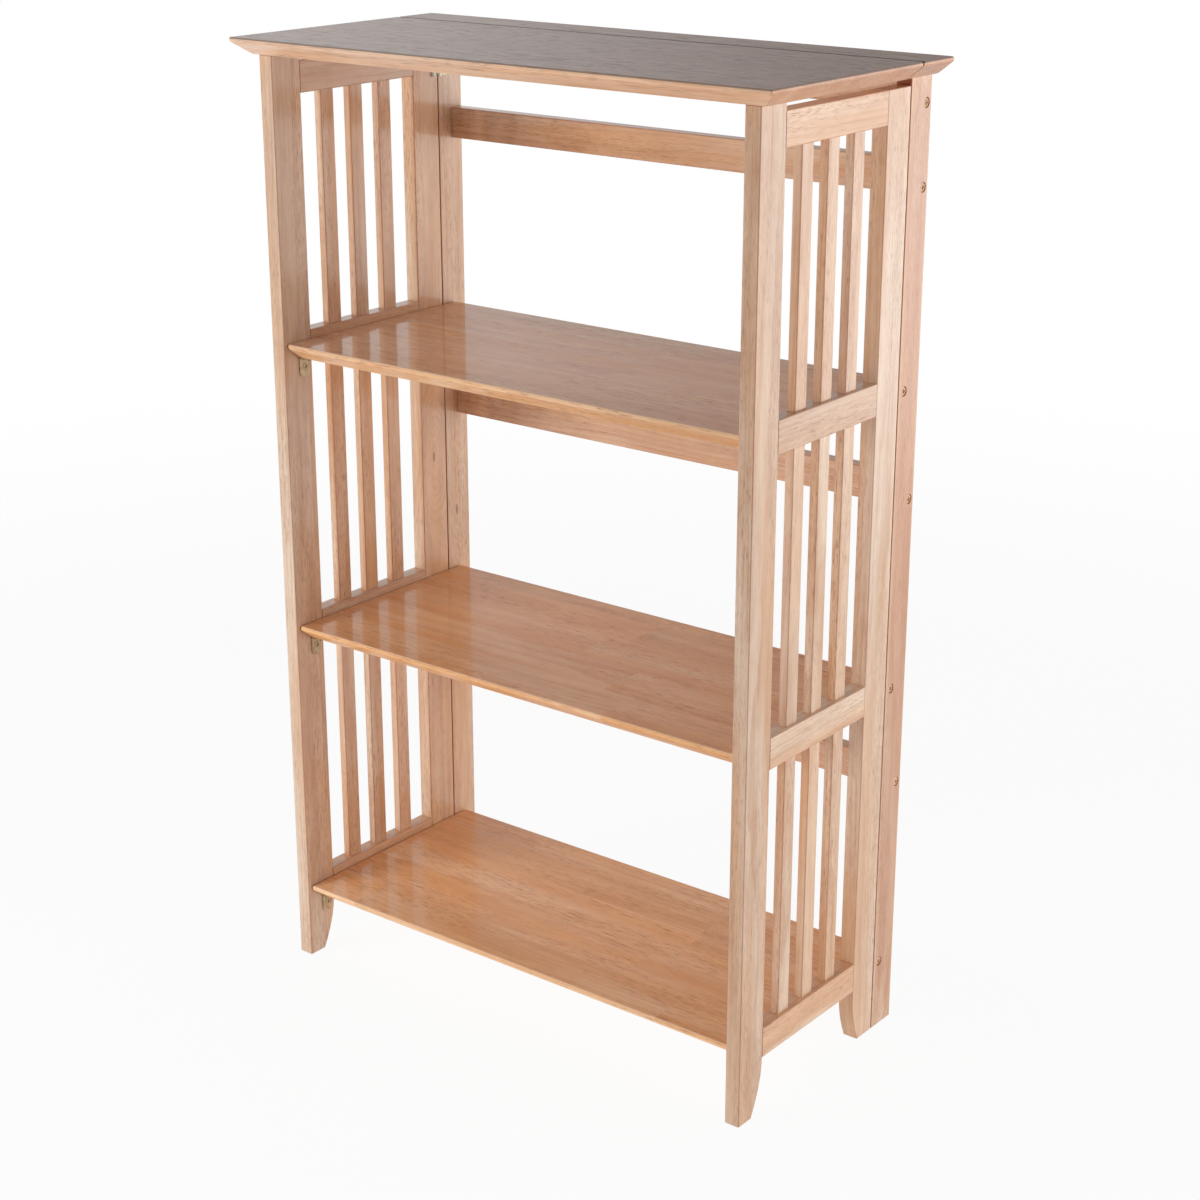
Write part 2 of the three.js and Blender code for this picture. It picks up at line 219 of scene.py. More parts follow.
def softened_ring(outline: Array, radius: float, steps: int) -> tuple[Array, Array]:
    """Core points and outward normals round a convex outline.

    The outline's edges are moved inwards by radius and meet in core corners. At each corner
    the normal turns from one edge's to the next one's in equal steps, so that core plus
    radius times normal is the outline with rounded corners.

    Args:
        outline: corners, counter-clockwise, (n, 2).
        radius: how far inwards the core lies.
        steps: steps of the normal at each corner.

    Returns:
        The core points and the unit normals, both (n * (steps + 1), 2).
    """
    edge = np.roll(outline, -1, axis=0) - outline
    edge = edge / np.linalg.norm(edge, axis=1, keepdims=True)
    after = np.stack([edge[:, 1], -edge[:, 0]], axis=1)
    before = np.roll(after, 1, axis=0)
    share = 1 + (before * after).sum(1, keepdims=True)
    core = outline - radius * (before + after) / share
    start = np.arctan2(before[:, 1], before[:, 0])
    turn = np.arctan2(after[:, 1], after[:, 0]) - start
    turn = (turn + np.pi) % (2 * np.pi) - np.pi
    angle = start[:, None] + turn[:, None] * np.linspace(0, 1, steps + 1)
    normals = np.stack([np.cos(angle), np.sin(angle)], axis=-1).reshape(-1, 2)
    return np.repeat(core, steps + 1, axis=0), normals


@dataclass(frozen=True)
class Pocket:
    """A round blind hole in the far end of a prism, with a lightly eased rim."""

    u: float
    v: float
    radius: float = 0.0052
    depth: float = 0.0034
    lip: float = 0.0004
    lip_rows: int = 5
    columns: int = 36

    def shell(self, height: float) -> Shell:
        """The rim, wall and floor: circles whose radius and depth follow the eased rim.

        Args:
            height: where the face that the pocket is sunk in lies.

        Returns:
            The pocket's surface. Its first circle is the hole in the face.
        """
        swing = np.linspace(0, np.pi / 2, self.lip_rows)
        reach = np.concatenate([self.radius + self.lip * (1 - np.sin(swing)), [self.radius] * 2])
        sink = np.concatenate([self.lip * (1 - np.cos(swing)), [self.depth] * 2])
        inward = np.concatenate([np.sin(swing), [1.0, 0.0]])
        upward = np.concatenate([np.cos(swing), [0.0, 1.0]])
        angle = np.arange(self.columns) / self.columns * 2 * np.pi
        spoke = np.stack([np.cos(angle), np.sin(angle)], axis=-1)
        rows = len(reach)
        points = np.zeros((rows, self.columns, 3))
        points[..., :2] = reach[:, None, None] * spoke + (self.u, self.v)
        points[..., 2] = (height - sink)[:, None]
        normals = np.zeros_like(points)
        normals[..., :2] = -inward[:, None, None] * spoke
        normals[..., 2] = upward[:, None]
        arris = np.repeat((np.arange(rows) < self.lip_rows).astype(float), self.columns)
        faces = band_faces(rows, self.columns)
        faces.append(list(range((rows - 1) * self.columns, rows * self.columns)))
        return Shell(points.reshape(-1, 3), normals.reshape(-1, 3), arris, faces)


def soft_prism(
    outline: Array,
    length: float,
    radius: float = 0.0012,
    end_radius: float = 0.0012,
    steps: int = 4,
    pockets: Sequence[Pocket] = (),
) -> Shell:
    """A convex outline carried along its own normal, with every edge rounded.

    Row by row the ring lies at core + (radius - end_radius * (1 - cos a)) * normal, at a
    height that follows end_radius * sin a, while a goes from -90 to 0 degrees at the near
    end and from 0 to 90 degrees at the far end.

    Args:
        outline: corners, counter-clockwise, (n, 2), on the local axes 0 and 1.
        length: how far the outline is carried along the local axis 2.
        radius: rounding of the edges that run along the prism.
        end_radius: rounding of the edges round its two ends, at most radius.
        steps: steps of each rounding.
        pockets: blind holes in the far end.

    Returns:
        The closed surface, starting at height 0.
    """
    core, normal = softened_ring(outline, radius, steps)
    swing = np.concatenate(
        [np.linspace(-np.pi / 2, 0, steps + 1), np.linspace(0, np.pi / 2, steps + 1)])
    middle = np.repeat([end_radius, length - end_radius], steps + 1)
    reach = radius - end_radius * (1 - np.cos(swing))
    height = middle + end_radius * np.sin(swing)
    rows, columns = len(swing), len(core)
    points = np.zeros((rows, columns, 3))
    points[..., :2] = core + reach[:, None, None] * normal
    points[..., 2] = height[:, None]
    normals = np.zeros_like(points)
    normals[..., :2] = np.cos(swing)[:, None, None] * normal
    normals[..., 2] = np.sin(swing)[:, None]
    inner = np.tile(np.arange(columns) % (steps + 1), (rows, 1))
    rounded = (inner > 0) & (inner < steps)
    lean = np.abs(np.sin(swing))[:, None]
    least, most = ROUNDED_LEAN
    arris = np.maximum(rounded, (lean > least) & (lean < most))
    body = Shell(points.reshape(-1, 3), normals.reshape(-1, 3), arris.astype(float).ravel(), [])
    body.faces = band_faces(rows, columns)
    body.faces.append(list(range(columns)))
    last = list(range((rows - 1) * columns, rows * columns))
    if not pockets:
        body.faces.append(last)
        return body.clean()
    holes = [pocket.shell(length) for pocket in pockets]
    loops = [body.points[last]]
    loops += [hole.points[: pocket.columns] for hole, pocket in zip(holes, pockets)]
    numbers = list(last)
    start = len(body.points)
    for hole, pocket in zip(holes, pockets):
        numbers += list(range(start, start + pocket.columns))
        start += len(hole.points)
    keep = loop_without_doubles(loops[0])
    numbers = [numbers[i] for i in keep] + numbers[len(loops[0]):]
    loops[0] = loops[0][keep]
    cap = tessellate_polygon([[Vector(p) for p in loop] for loop in loops])
    whole = joined([body, *holes])
    whole.faces += [[numbers[i] for i in triangle] for triangle in cap]
    return whole.clean()


def loop_without_doubles(loop: Array) -> list[int]:
    """The places in a closed loop of points that differ from the point before."""
    step = np.linalg.norm(loop - np.roll(loop, 1, axis=0), axis=1)
    return np.nonzero(step > NO_LENGTH)[0].tolist()


def rectangle(width: float, height: float) -> Array:
    """The corners of a rectangle from the origin, counter-clockwise."""
    return np.array([[0, 0], [width, 0], [width, height], [0, height]], float)


@dataclass(frozen=True)
class EdgeWork:
    """The sizes of a square and of a nosed edge.

    A nosed edge climbs from the underside in a straight bevel, turns up in a small curve to
    a blunt nose, and turns in a small curve to the top face.
    """

    thickness: float = 0.018
    bevel_run: float = 0.017
    nose_height: float = 0.0045
    nose_radius: float = 0.0018
    square_radius: float = 0.0008
    mark_depth: float = 0.0009
    steps: int = 6

    def profile(self, edge: Edge) -> Array:
        """Rows of inset, height and tilt of the normal, from the underside up.

        The small curves of the nose are quadratic: ends and control point weighted
        (1 - t) squared, 2 t (1 - t) and t squared.

        Args:
            edge: the kind of edge.

        Returns:
            An (n, 3) array, rising in height.
        """
        t = np.linspace(0, 1, self.steps + 1)
        if edge is Edge.SQUARE:
            lower = self.square_radius * (1 - np.cos(t * np.pi / 2))
            inset = self.square_radius * (1 - np.sin(t * np.pi / 2))
            low = np.stack([inset, lower, (t - 1) * np.pi / 2], axis=1)
            high = np.stack([inset, self.thickness - lower, (1 - t) * np.pi / 2], axis=1)[::-1]
            return np.vstack([low, high])
        nose_z = self.thickness - self.nose_height
        slope = math.hypot(self.bevel_run, nose_z)
        ease = np.array([self.bevel_run, -nose_z]) * self.nose_radius / slope + (0, nose_z)
        tilt = -math.atan2(self.bevel_run, nose_z)
        weights = np.stack([(1 - t) ** 2, 2 * t * (1 - t), t**2], axis=1)
        turn_up = weights @ np.array([ease, [0, nose_z], [0, nose_z + self.nose_radius]])
        turn_in = weights @ np.array(
            [[0, self.thickness - self.nose_radius], [0, self.thickness],
             [self.nose_radius, self.thickness]])
        return np.vstack([
            [self.bevel_run, 0, tilt],
            np.column_stack([turn_up, tilt * (1 - t)]),
            np.column_stack([turn_in, t * np.pi / 2]),
        ])


def worked_board(
    low: Sequence[float], high: Sequence[float], edges: dict[str, Edge], work: EdgeWork,
    corner: float = 0.0012, steps: int = 4,
) -> Shell:
    """A flat board whose four edges are each square or nosed.

    At each height the board is a rectangle with rounded corners, set in on each side by that
    edge's profile, so that two profiles meet in a mitre. The normal tilts by the profile's
    tilt, and round a corner by a mix of the two.

    Args:
        low: lowest corner of the board.
        high: highest corner of the board.
        edges: the edges by the names left, front, right and back.
        work: the sizes of the edges.
        corner: radius of the four upright corners.
        steps: steps of each corner.

    Returns:
        The closed surface in its place.
    """
    profiles = {name: work.profile(edge) for name, edge in edges.items()}
    heights = np.concatenate([p[:, 1] for p in profiles.values()])
    heights = np.unique(np.round(heights, HEIGHT_DIGITS))
    inset = {n: np.interp(heights, p[:, 1], p[:, 0]) for n, p in profiles.items()}
    tilt = {n: np.interp(heights, p[:, 1], p[:, 2]) for n, p in profiles.items()}
    west, east = low[0] + inset["left"], high[0] - inset["right"]
    south, north = low[1] + inset["front"], high[1] - inset["back"]
    around = [
        (west, south, 1, 1, "left", "front", np.pi),
        (east, south, -1, 1, "front", "right", 1.5 * np.pi),
        (east, north, -1, -1, "right", "back", 0.0),
        (west, north, 1, -1, "back", "left", 0.5 * np.pi),
    ]
    t = np.linspace(0, 1, steps + 1)
    rings, lean = [], []
    for x, y, to_x, to_y, before, after, start in around:
        angle = start + t * np.pi / 2
        spoke = np.stack([np.cos(angle), np.sin(angle)], axis=-1)
        centre = np.stack([x + to_x * corner, y + to_y * corner], axis=-1)
        rings.append(centre[:, None, :] + corner * spoke)
        mixed = tilt[before][:, None] * (1 - t) + tilt[after][:, None] * t
        flat = np.cos(mixed)[..., None] * spoke
        lean.append(np.concatenate([flat, np.sin(mixed)[..., None]], axis=-1))
    ring = np.concatenate(rings, axis=1)
    normal = np.concatenate(lean, axis=1)
    rows, columns = ring.shape[:2]
    points = np.zeros((rows + 1, columns, 3))
    points[1:, :, :2] = ring
    points[0, :, :2] = ring[0]
    points[1:, :, 2] = low[2] + heights[:, None]
    points[0, :, 2] = low[2]
    normals = np.zeros_like(points)
    normals[1:] = normal
    normals[0, :, 2] = -1.0
    upper = np.concatenate([[0], heights > work.thickness - work.mark_depth]).astype(float)
    upper[-1] = 2.0
    shell = Shell(points.reshape(-1, 3), normals.reshape(-1, 3), np.repeat(upper, columns), [])
    shell.faces = band_faces(rows + 1, columns)
    shell.faces.append(list(range(columns)))
    shell.faces.append(list(range(rows * columns, (rows + 1) * columns)))
    return shell.clean()


def turned_form(
    radius: Array, height: Array, columns: int, marks: Array | None = None
) -> Shell:
    """A form turned about the local axis 2, or one whose radius also changes round it.

    Its point at row i and angle b is (radius cos b, radius sin b, height), with radius and
    height given at each row or at each row and angle. Normals are the cross product of the
    differences along and round the form.

    Args:
        radius: (rows,) or (rows, columns).
        height: (rows,) or (rows, columns).
        columns: points round the form.
        marks: the shell's arris value for each row, if it has one.

    Returns:
        The surface, closed by a face at each end.
    """
    rows = len(radius)
    reach = np.broadcast_to(radius.reshape(rows, -1), (rows, columns))
    level = np.broadcast_to(height.reshape(rows, -1), (rows, columns))
    angle = np.arange(columns) / columns * 2 * np.pi
    points = np.stack([reach * np.cos(angle), reach * np.sin(angle), level], axis=-1)
    along = np.gradient(points, axis=0)
    around = np.roll(points, -1, axis=1) - np.roll(points, 1, axis=1)
    normals = np.cross(around, along)
    normals /= np.maximum(np.linalg.norm(normals, axis=-1, keepdims=True), NO_AREA)
    normals[0] = (0, 0, -1)
    normals[-1] = (0, 0, 1)
    if marks is None:
        marks = np.zeros(rows)
    shell = Shell(points.reshape(-1, 3), normals.reshape(-1, 3), np.repeat(marks, columns), [])
    shell.faces = band_faces(rows, columns)
    shell.faces.append(list(range(columns)))
    shell.faces.append(list(range((rows - 1) * columns, rows * columns)))
    return shell.clean()


@dataclass(frozen=True)
class DrivenHead:
    """The nearly flat head of a screw or bolt, with a lobed recess for the driver.

    A cross has four lobes and a hexagon six. Skirt and floor hold rows of radius and height,
    as shares of the head's radius and skirt, and of the recess' edge and depth. Another row
    of numbers says how much painted shade and grime darken each row, from the foot to the
    recess: most at the foot and down in the recess, where shade falls.
    """

    radius: float
    rise: float
    recess: float
    depth: float
    lobes: int = 4
    flare: float = 0.28
    skirt_share: float = 0.85
    skirt: tuple[Range, ...] = ((0.985, 0.0), (1.0, 0.06), (1.0, 0.72), (0.985, 0.86), (0.93, 1.0))
    floor: tuple[Range, ...] = ((0.97, 0.5), (0.86, 1.0), (0.3, 1.08))
    grime: tuple[float, ...] = (1.0, 0.6, 0, 0, 0, 0, 0, 0, 0.3, 0.8, 1.0, 1.0)
    columns: int = 48

    def shell(self) -> Shell:
        """Rows from the foot up the skirt, over the dome and down into the recess.

        The recess' edge lies at radius recess (1 + flare cos(lobes b)) at the angle b, and
        the dome rises to it with the sine of the way across.

        Returns:
            The head, with its foot at height 0 and its top outwards.
        """
        skirt, floor = np.array(self.skirt), np.array(self.floor)
        angle = np.arange(self.columns) / self.columns * 2 * np.pi
        lobe = self.recess * self.radius * (1 + self.flare * np.cos(self.lobes * angle))
        across = np.linspace(0, 1, len(self.grime) - len(skirt) - len(floor) + 1)[1:, None]
        bulge = self.skirt_share + (1 - self.skirt_share) * np.sin(across * np.pi / 2)
        reach = np.vstack([
            skirt[:, :1] * self.radius * np.ones(self.columns),
            self.radius * skirt[-1, 0] * (1 - across) + lobe * across,
            floor[:, :1] * lobe,
        ])
        level = np.vstack([
            skirt[:, 1:] * self.rise * self.skirt_share,
            self.rise * bulge,
            self.rise - self.depth * floor[:, 1:],
        ])
        return turned_form(reach, level, self.columns, np.array(self.grime))


def bent_strip(
    path: Array, out: Array, half_width: Array, thickness: float, ease: float, steps: int = 2
) -> Shell:
    """A metal strip that follows a path in its own plane, with its edges eased.

    Each section is a rectangle with rounded corners, as wide as half_width says on both
    sides of the path along the local axis 1, and thickness deep along the path's outward
    direction. The sections are joined in order and closed at both ends.

    Args:
        path: (n, 2) points of the inner face, on the local axes 0 and 2.
        out: (n, 2) unit directions from the inner face to the outer one.
        half_width: (n,) half of the width at each point.
        thickness: the strip's thickness.
        ease: radius of its edges.
        steps: steps of each rounding.

    Returns:
        The closed surface.
    """
    # Across the strip only the side that a core point lies on is read, so any width does
    core, normal = softened_ring(rectangle(2.0, thickness) - (1.0, 0.0), ease, steps)
    sideways = np.sign(core[:, 0])
    columns, rows = len(core), len(path)
    across = sideways * (half_width[:, None] - ease) + ease * normal[:, 0]
    deep = core[:, 1] + ease * normal[:, 1]
    points = np.zeros((rows, columns, 3))
    points[..., 0] = path[:, :1] + out[:, :1] * deep
    points[..., 1] = across
    points[..., 2] = path[:, 1:] + out[:, 1:] * deep
    normals = np.zeros_like(points)
    normals[..., 0] = out[:, :1] * normal[:, 1]
    normals[..., 1] = normal[:, 0]
    normals[..., 2] = out[:, 1:] * normal[:, 1]
    ahead = np.gradient(path, axis=0)
    ahead /= np.linalg.norm(ahead, axis=1, keepdims=True)
    ends = []
    for row, sign in ((0, -1.0), (rows - 1, 1.0)):
        facing = np.zeros((columns, 3))
        facing[:, 0], facing[:, 2] = sign * ahead[row]
        # The end faces carry arris 1, so that the metal finish darkens them with painted shade and
        # grime
        ends.append(Shell(points[row], facing, np.ones(columns), [list(range(columns))]))
    body = Shell(points.reshape(-1, 3), normals.reshape(-1, 3), np.zeros(rows * columns), [])
    body.faces = band_faces(rows, columns)
    return joined([body, *ends]).clean()


# Finishes


@dataclass(frozen=True)
class Pattern:
    """A noise pattern: how often it repeats in a metre along each axis, and how rough it is."""

    repeats: Triple
    detail: float = 2.0
    roughness: float = 0.5


FIBRE = Pattern((11.0, 420.0, 420.0), 3.0, 0.6)
CLOUD = Pattern((5.5, 44.0, 44.0), 3.0, 0.55)
MOTTLE = Pattern((42.0, 75.0, 75.0))
BLUSH = Pattern((2.2, 30.0, 30.0), 1.0)
COARSE = Pattern((3.1, 30.0, 30.0), 1.0)
DRIFT = Pattern((1.6, 9.0, 9.0))
WANDER = Pattern((12.0, 60.0, 60.0))
PATCHES = Pattern((160.0, 160.0, 160.0), 3.0, 0.6)
RUBBING = Pattern((2400.0, 2400.0, 500.0))


class Graph:
    """Adds shader nodes to a material or a world and links them."""

    def __init__(self, tree: bpy.types.NodeTree) -> None:
        """Starts with an empty tree."""
        self.tree = tree
        tree.nodes.clear()

    def node(
        self, kind: str, inputs: dict[str | int, object] | None = None, **settings: object
    ) -> bpy.types.Node:
        """Adds a node.

        Args:
            kind: the node's type.
            inputs: values for its inputs, or sockets to link to them.
            settings: values for its own settings.

        Returns:
            The new node.
        """
        made = self.tree.nodes.new(kind)
        for name, value in settings.items():
            setattr(made, name, value)
        for key, value in (inputs or {}).items():
            self.feed(made.inputs[key], value)
        return made

    def feed(self, socket: Socket, value: object) -> None:
        """Sets a socket to a value, or links another socket to it."""
        if isinstance(value, Socket):
            self.tree.links.new(value, socket)
        else:
            socket.default_value = value

    def math(self, operation: str, *values: object, clamp: bool = False) -> Socket:
        """A Math node's result for numbers or sockets."""
        inputs = dict(enumerate(values))
        return self.node("ShaderNodeMath", inputs, operation=operation, use_clamp=clamp).outputs[0]

    def vector(self, operation: str, *values: object, result: str = "Vector") -> Socket:
        """A Vector Math node's result: a vector, or the number that it calls Value."""
        inputs = dict(enumerate(values))
        return self.node("ShaderNodeVectorMath", inputs, operation=operation).outputs[result]

    def axes(self, vector: Socket) -> list[Socket]:
        """The three numbers of a vector."""
        return list(self.node("ShaderNodeSeparateXYZ", {0: vector}).outputs)

    def attribute(self, name: str, result: str = "Vector") -> Socket:
        """The vector, or the number called Fac, that the mesh carries under a name."""
        made = self.node("ShaderNodeAttribute", attribute_name=name, attribute_type="GEOMETRY")
        return made.outputs[result]

    def place(self, kind: str = "Object") -> Socket:
        """Coordinates: those of the object, or those called Generated, a world's direction."""
        return self.node("ShaderNodeTexCoord").outputs[kind]

    def noise(self, place: Socket, pattern: Pattern) -> Socket:
        """A noise pattern's value at a place."""
        inputs = {
            "Vector": self.vector("MULTIPLY", place, pattern.repeats), "Scale": 1.0,
            "Detail": pattern.detail, "Roughness": pattern.roughness,
        }
        return self.node("ShaderNodeTexNoise", inputs).outputs[0]

    def chance(self, dimensions: str, inputs: dict[str, object]) -> bpy.types.bpy_prop_collection:
        """A random number and a random colour for each whole place."""
        return self.node("ShaderNodeTexWhiteNoise", inputs, noise_dimensions=dimensions).outputs

    def ramp(
        self, value: object, low: float, high: float, to_low: float = 0.0, to_high: float = 1.0
    ) -> Socket:
        """A smooth step of a value between two levels, mapped to two others."""
        names = ("Value", "From Min", "From Max", "To Min", "To Max")
        inputs = dict(zip(names, (value, low, high, to_low, to_high)))
        made = self.node("ShaderNodeMapRange", inputs, interpolation_type="SMOOTHSTEP")
        return made.outputs["Result"]

    def blend(self, share: object, first: object, second: object, mode: str = "MIX") -> Socket:
        """Two colours mixed by a share."""
        made = self.node("ShaderNodeMix", data_type="RGBA", blend_type=mode)
        for name, value in (("Factor_Float", share), ("A_Color", first), ("B_Color", second)):
            self.feed(next(s for s in made.inputs if s.identifier == name), value)
        return next(s for s in made.outputs if s.identifier == "Result_Color")

    def mixed(self, share: object, first: Socket, second: Socket) -> Socket:
        """Two shaders mixed by a share."""
        return self.node("ShaderNodeMixShader", {0: share, 1: first, 2: second}).outputs[0]

    def surface(self, bump: dict[str, object], inputs: dict[str, object]) -> None:
        """Ends a material in a Principled shader with a bump."""
        normal = self.node("ShaderNodeBump", bump).outputs[0]
        shader = self.node("ShaderNodeBsdfPrincipled", {**inputs, "Normal": normal})
        self.node("ShaderNodeOutputMaterial", {"Surface": shader.outputs[0]})


def new_material(name: str) -> tuple[bpy.types.Material, Graph]:
    """An empty material and the graph that fills it."""
    made = bpy.data.materials.new(name)
    made.use_nodes = True
    return made, Graph(made.node_tree)


def linear(colour: Colour) -> tuple[float, float, float, float]:
    """A colour written as 0 to 255 per channel, as linear values by the sRGB curve."""
    share = np.asarray(colour, float) / 255
    low = share / 12.92
    high = ((share + 0.055) / 1.055) ** 2.4
    return (*np.where(share <= 0.04045, low, high).tolist(), 1.0)


@dataclass(frozen=True)
class WoodFinish:
    """A pale hardwood under a satin clear coat, in the colours of one group of boards.

    The grain is worked out in the wood's own space, which each board carries as its grain
    attribute: along the grain, across it and through the board, from the middle of the tree
    that the board was cut from. A share says how strongly something shows, and a range gives
    the two levels of a pattern or an attribute between which it comes in.
    """

    name: str
    slot: str
    pale: Colour
    warm: Colour
    deep: Colour
    pore: Colour
    # The arris colour and share: on a shelf a painted highlight along its upper arris, on the frame
    # and the top a darker line along the rounded edges
    arris: Colour
    arris_share: float
    strip_width: float
    block_length: float
    strip_tone: float
    ring_share: float
    streak_share: float
    cloud_share: float
    pore_share: float
    roughness: float
    specular: float
    coat: float
    coat_roughness: float
    mottle_share: float = 0.14
    figure_range: Range = (0.28, 0.74)
    blush_range: Range = (0.34, 0.66)
    ring_spacing: float = 0.0065
    ring_drift: float = 0.05
    ring_wander: float = 0.0035
    ring_power: float = 2.4
    ring_end: Range = (1.0, 0.9)
    finger: float = 0.002
    block_shift: Triple = (8.0, 0.1, 0.08)
    pore_scale: Triple = (62.0, 820.0, 820.0)
    dash_roughness: float = 0.55
    pore_range: Range = (0.53, 0.68)
    coarse_range: Range = (0.35, 0.65)
    coarse_shares: Range = (0.3, 1.5)
    knot_stretch: Triple = (0.3, 1.0, 1.0)
    knot_reach: float = 0.03
    knot_bend: float = 0.045
    knot_range: Range = (0.0026, 0.0012)
    knot_share: float = 0.75
    face_range: Range = (1.2, 1.9)
    # Painted shade on the upper face: darker and greyer, as it looks with little light from above
    face_tint: Colour = (255, 255, 255)
    face_pores: float = 0.0
    face_coat: float = 0.0
    end_range: Range = (0.3, 0.6)
    end_tint: Colour = (228, 205, 189)
    # Painted shade in the narrow gaps where boards fold or meet: its colour, how it fades, how
    # strong it is and how far it reaches
    joint: Colour = (150, 66, 42)
    joint_range: Range = (0.7, 1.0)
    joint_share: float = 0.85
    joint_reach: float = 0.0008
    upper_range: Range = (0.2, 0.9)
    upper_joint_reach: float = 0.0
    fibre_relief: float = 0.5
    pore_relief: float = -0.8
    bump_strength: float = 0.16
    bump_distance: float = 0.0006
    fibre_roughness: float = 0.1
    pore_roughness: float = 0.3

    def material(self) -> bpy.types.Material:
        """Builds the finish's material, once.

        Returns:
            The material.
        """
        if self.name in bpy.data.materials:
            return bpy.data.materials[self.name]
        made, graph = new_material(self.name)
        brightness, strength, depth = graph.axes(graph.attribute("temper"))
        place, chance = self.cut_into_blocks(graph)
        knot = graph.vector("MULTIPLY", graph.attribute("knot"), self.knot_stretch)
        knot = graph.vector("LENGTH", knot, result="Value")
        mark = graph.attribute("arris", "Fac")
        face = graph.ramp(mark, *self.face_range)
        fibre = graph.noise(place, FIBRE)
        pores = self.pores(graph, place, face)
        colour = self.figure(graph, place, fibre, knot, depth)
        colour = graph.blend(pores, colour, linear(self.pore))
        heart = graph.ramp(knot, *self.knot_range, 0.0, self.knot_share)
        colour = graph.blend(heart, colour, linear(self.pore))
        colour = self.worn(graph, colour, mark, face)
        tone = graph.math("MULTIPLY_ADD", chance, self.strip_tone, 1 - self.strip_tone / 2)
        tone = graph.math("MULTIPLY", tone, brightness)
        inputs = {"Color": colour, "Value": tone, "Saturation": strength}
        colour = graph.node("ShaderNodeHueSaturation", inputs).outputs[0]
        relief = graph.math("MULTIPLY", fibre, self.fibre_relief)
        relief = graph.math("MULTIPLY_ADD", pores, self.pore_relief, relief)
        least = self.roughness - self.fibre_roughness / 2
        rough = graph.math("MULTIPLY_ADD", fibre, self.fibre_roughness, least)
        rough = graph.math("MULTIPLY_ADD", pores, self.pore_roughness, rough)
        coat = self.coat
        if self.face_coat:
            coat = graph.math("MULTIPLY_ADD", face, self.face_coat, self.coat)
        graph.surface(
            {"Height": relief, "Strength": self.bump_strength, "Distance": self.bump_distance},
            {"Base Color": colour, "Roughness": rough, "Specular IOR Level": self.specular,
             "Coat Weight": coat, "Coat Roughness": self.coat_roughness})
        return made

    def cut_into_blocks(self, graph: Graph) -> tuple[Socket, Socket]:
        """Splits the wood into glued strips, and each strip into finger-jointed blocks.

        A strip is a whole step of the place across the grain. A block is a whole step of the
        place along it, with a small zigzag for the fingers and a shift that differs from
        strip to strip. Each block then has its own place in the tree and its own tone.

        Args:
            graph: the material's graph.

        Returns:
            The place in the wood with each block moved, and the block's random tone.
        """
        grain = graph.attribute("grain")
        along, across, _ = graph.axes(grain)
        strip = graph.math("FLOOR", graph.math("DIVIDE", across, self.strip_width))
        finger = graph.math("PINGPONG", across, self.finger)
        along = graph.math("ADD", along, graph.chance("1D", {"W": strip})[0])
        along = graph.math("ADD", along, finger)
        block = graph.math("FLOOR", graph.math("DIVIDE", along, self.block_length))
        pair = graph.node("ShaderNodeCombineXYZ", {0: strip, 1: block}).outputs[0]
        chance = graph.chance("2D", {"Vector": pair})
        spread = graph.vector("SUBTRACT", chance["Color"], (0.5, 0.5, 0.5))
        return graph.vector("MULTIPLY_ADD", spread, self.block_shift, grain), chance[0]

    def figure(
        self, graph: Graph, place: Socket, fibre: Socket, knot: Socket, depth: Socket
    ) -> Socket:
        """The bare wood's colour: rings, streaks, clouds and mottling, over a slow blush.

        Args:
            graph: the material's graph.
            place: the place in the wood.
            fibre: the pattern of the fibres.
            knot: the distance from the board's knot.
            depth: how much deeper than others this board's figure is.

        Returns:
            The colour.
        """
        bend = graph.ramp(knot, self.knot_reach, 0.0, 0.0, self.knot_bend)
        shade = graph.math("MULTIPLY", self.rings(graph, place, bend), self.ring_share)
        patterns = (fibre, graph.noise(place, CLOUD), graph.noise(place, MOTTLE))
        shares = (self.streak_share, self.cloud_share, self.mottle_share)
        for pattern, share in zip(patterns, shares):
            spread = graph.ramp(pattern, *self.figure_range)
            shade = graph.math("MULTIPLY_ADD", spread, share, shade)
        shade = graph.math("ADD", shade, depth, clamp=True)
        blush = graph.ramp(graph.noise(place, BLUSH), *self.blush_range)
        base = graph.blend(blush, linear(self.pale), linear(self.warm))
        return graph.blend(shade, base, linear(self.deep))

    def rings(self, graph: Graph, place: Socket, bend: Socket) -> Socket:
        """Yearly rings, by the distance from the middle of the tree.

        The distance is the root of across squared plus through squared, wandering slowly
        along the grain. Each ring darkens slowly outwards and ends sharply.

        Args:
            graph: the material's graph.
            place: the place in the wood.
            bend: what a knot nearby adds to the distance.

        Returns:
            0 to 1, 1 where a ring ends.
        """
        flat = graph.vector("MULTIPLY", place, (0.0, 1.0, 1.0))
        far = graph.vector("LENGTH", flat, result="Value")
        for pattern, share in ((DRIFT, self.ring_drift), (WANDER, self.ring_wander)):
            far = graph.math("MULTIPLY_ADD", graph.noise(place, pattern), share, far)
        far = graph.math("ADD", far, bend)
        phase = graph.math("FRACT", graph.math("DIVIDE", far, self.ring_spacing))
        late = graph.math("POWER", phase, self.ring_power)
        return graph.math("MULTIPLY", late, graph.ramp(phase, *self.ring_end))

    def pores(self, graph: Graph, place: Socket, face: Socket) -> Socket:
        """How far a pore shows: short dashes along the grain, more of them on coarse wood."""
        least, most = self.coarse_shares
        coarse = graph.noise(place, COARSE)
        share = graph.ramp(
            coarse, *self.coarse_range, self.pore_share * least, self.pore_share * most)
        share = graph.math("MULTIPLY_ADD", face, self.face_pores, share)
        dash = graph.noise(place, Pattern(self.pore_scale, roughness=self.dash_roughness))
        return graph.math("MULTIPLY", graph.ramp(dash, *self.pore_range), share, clamp=True)

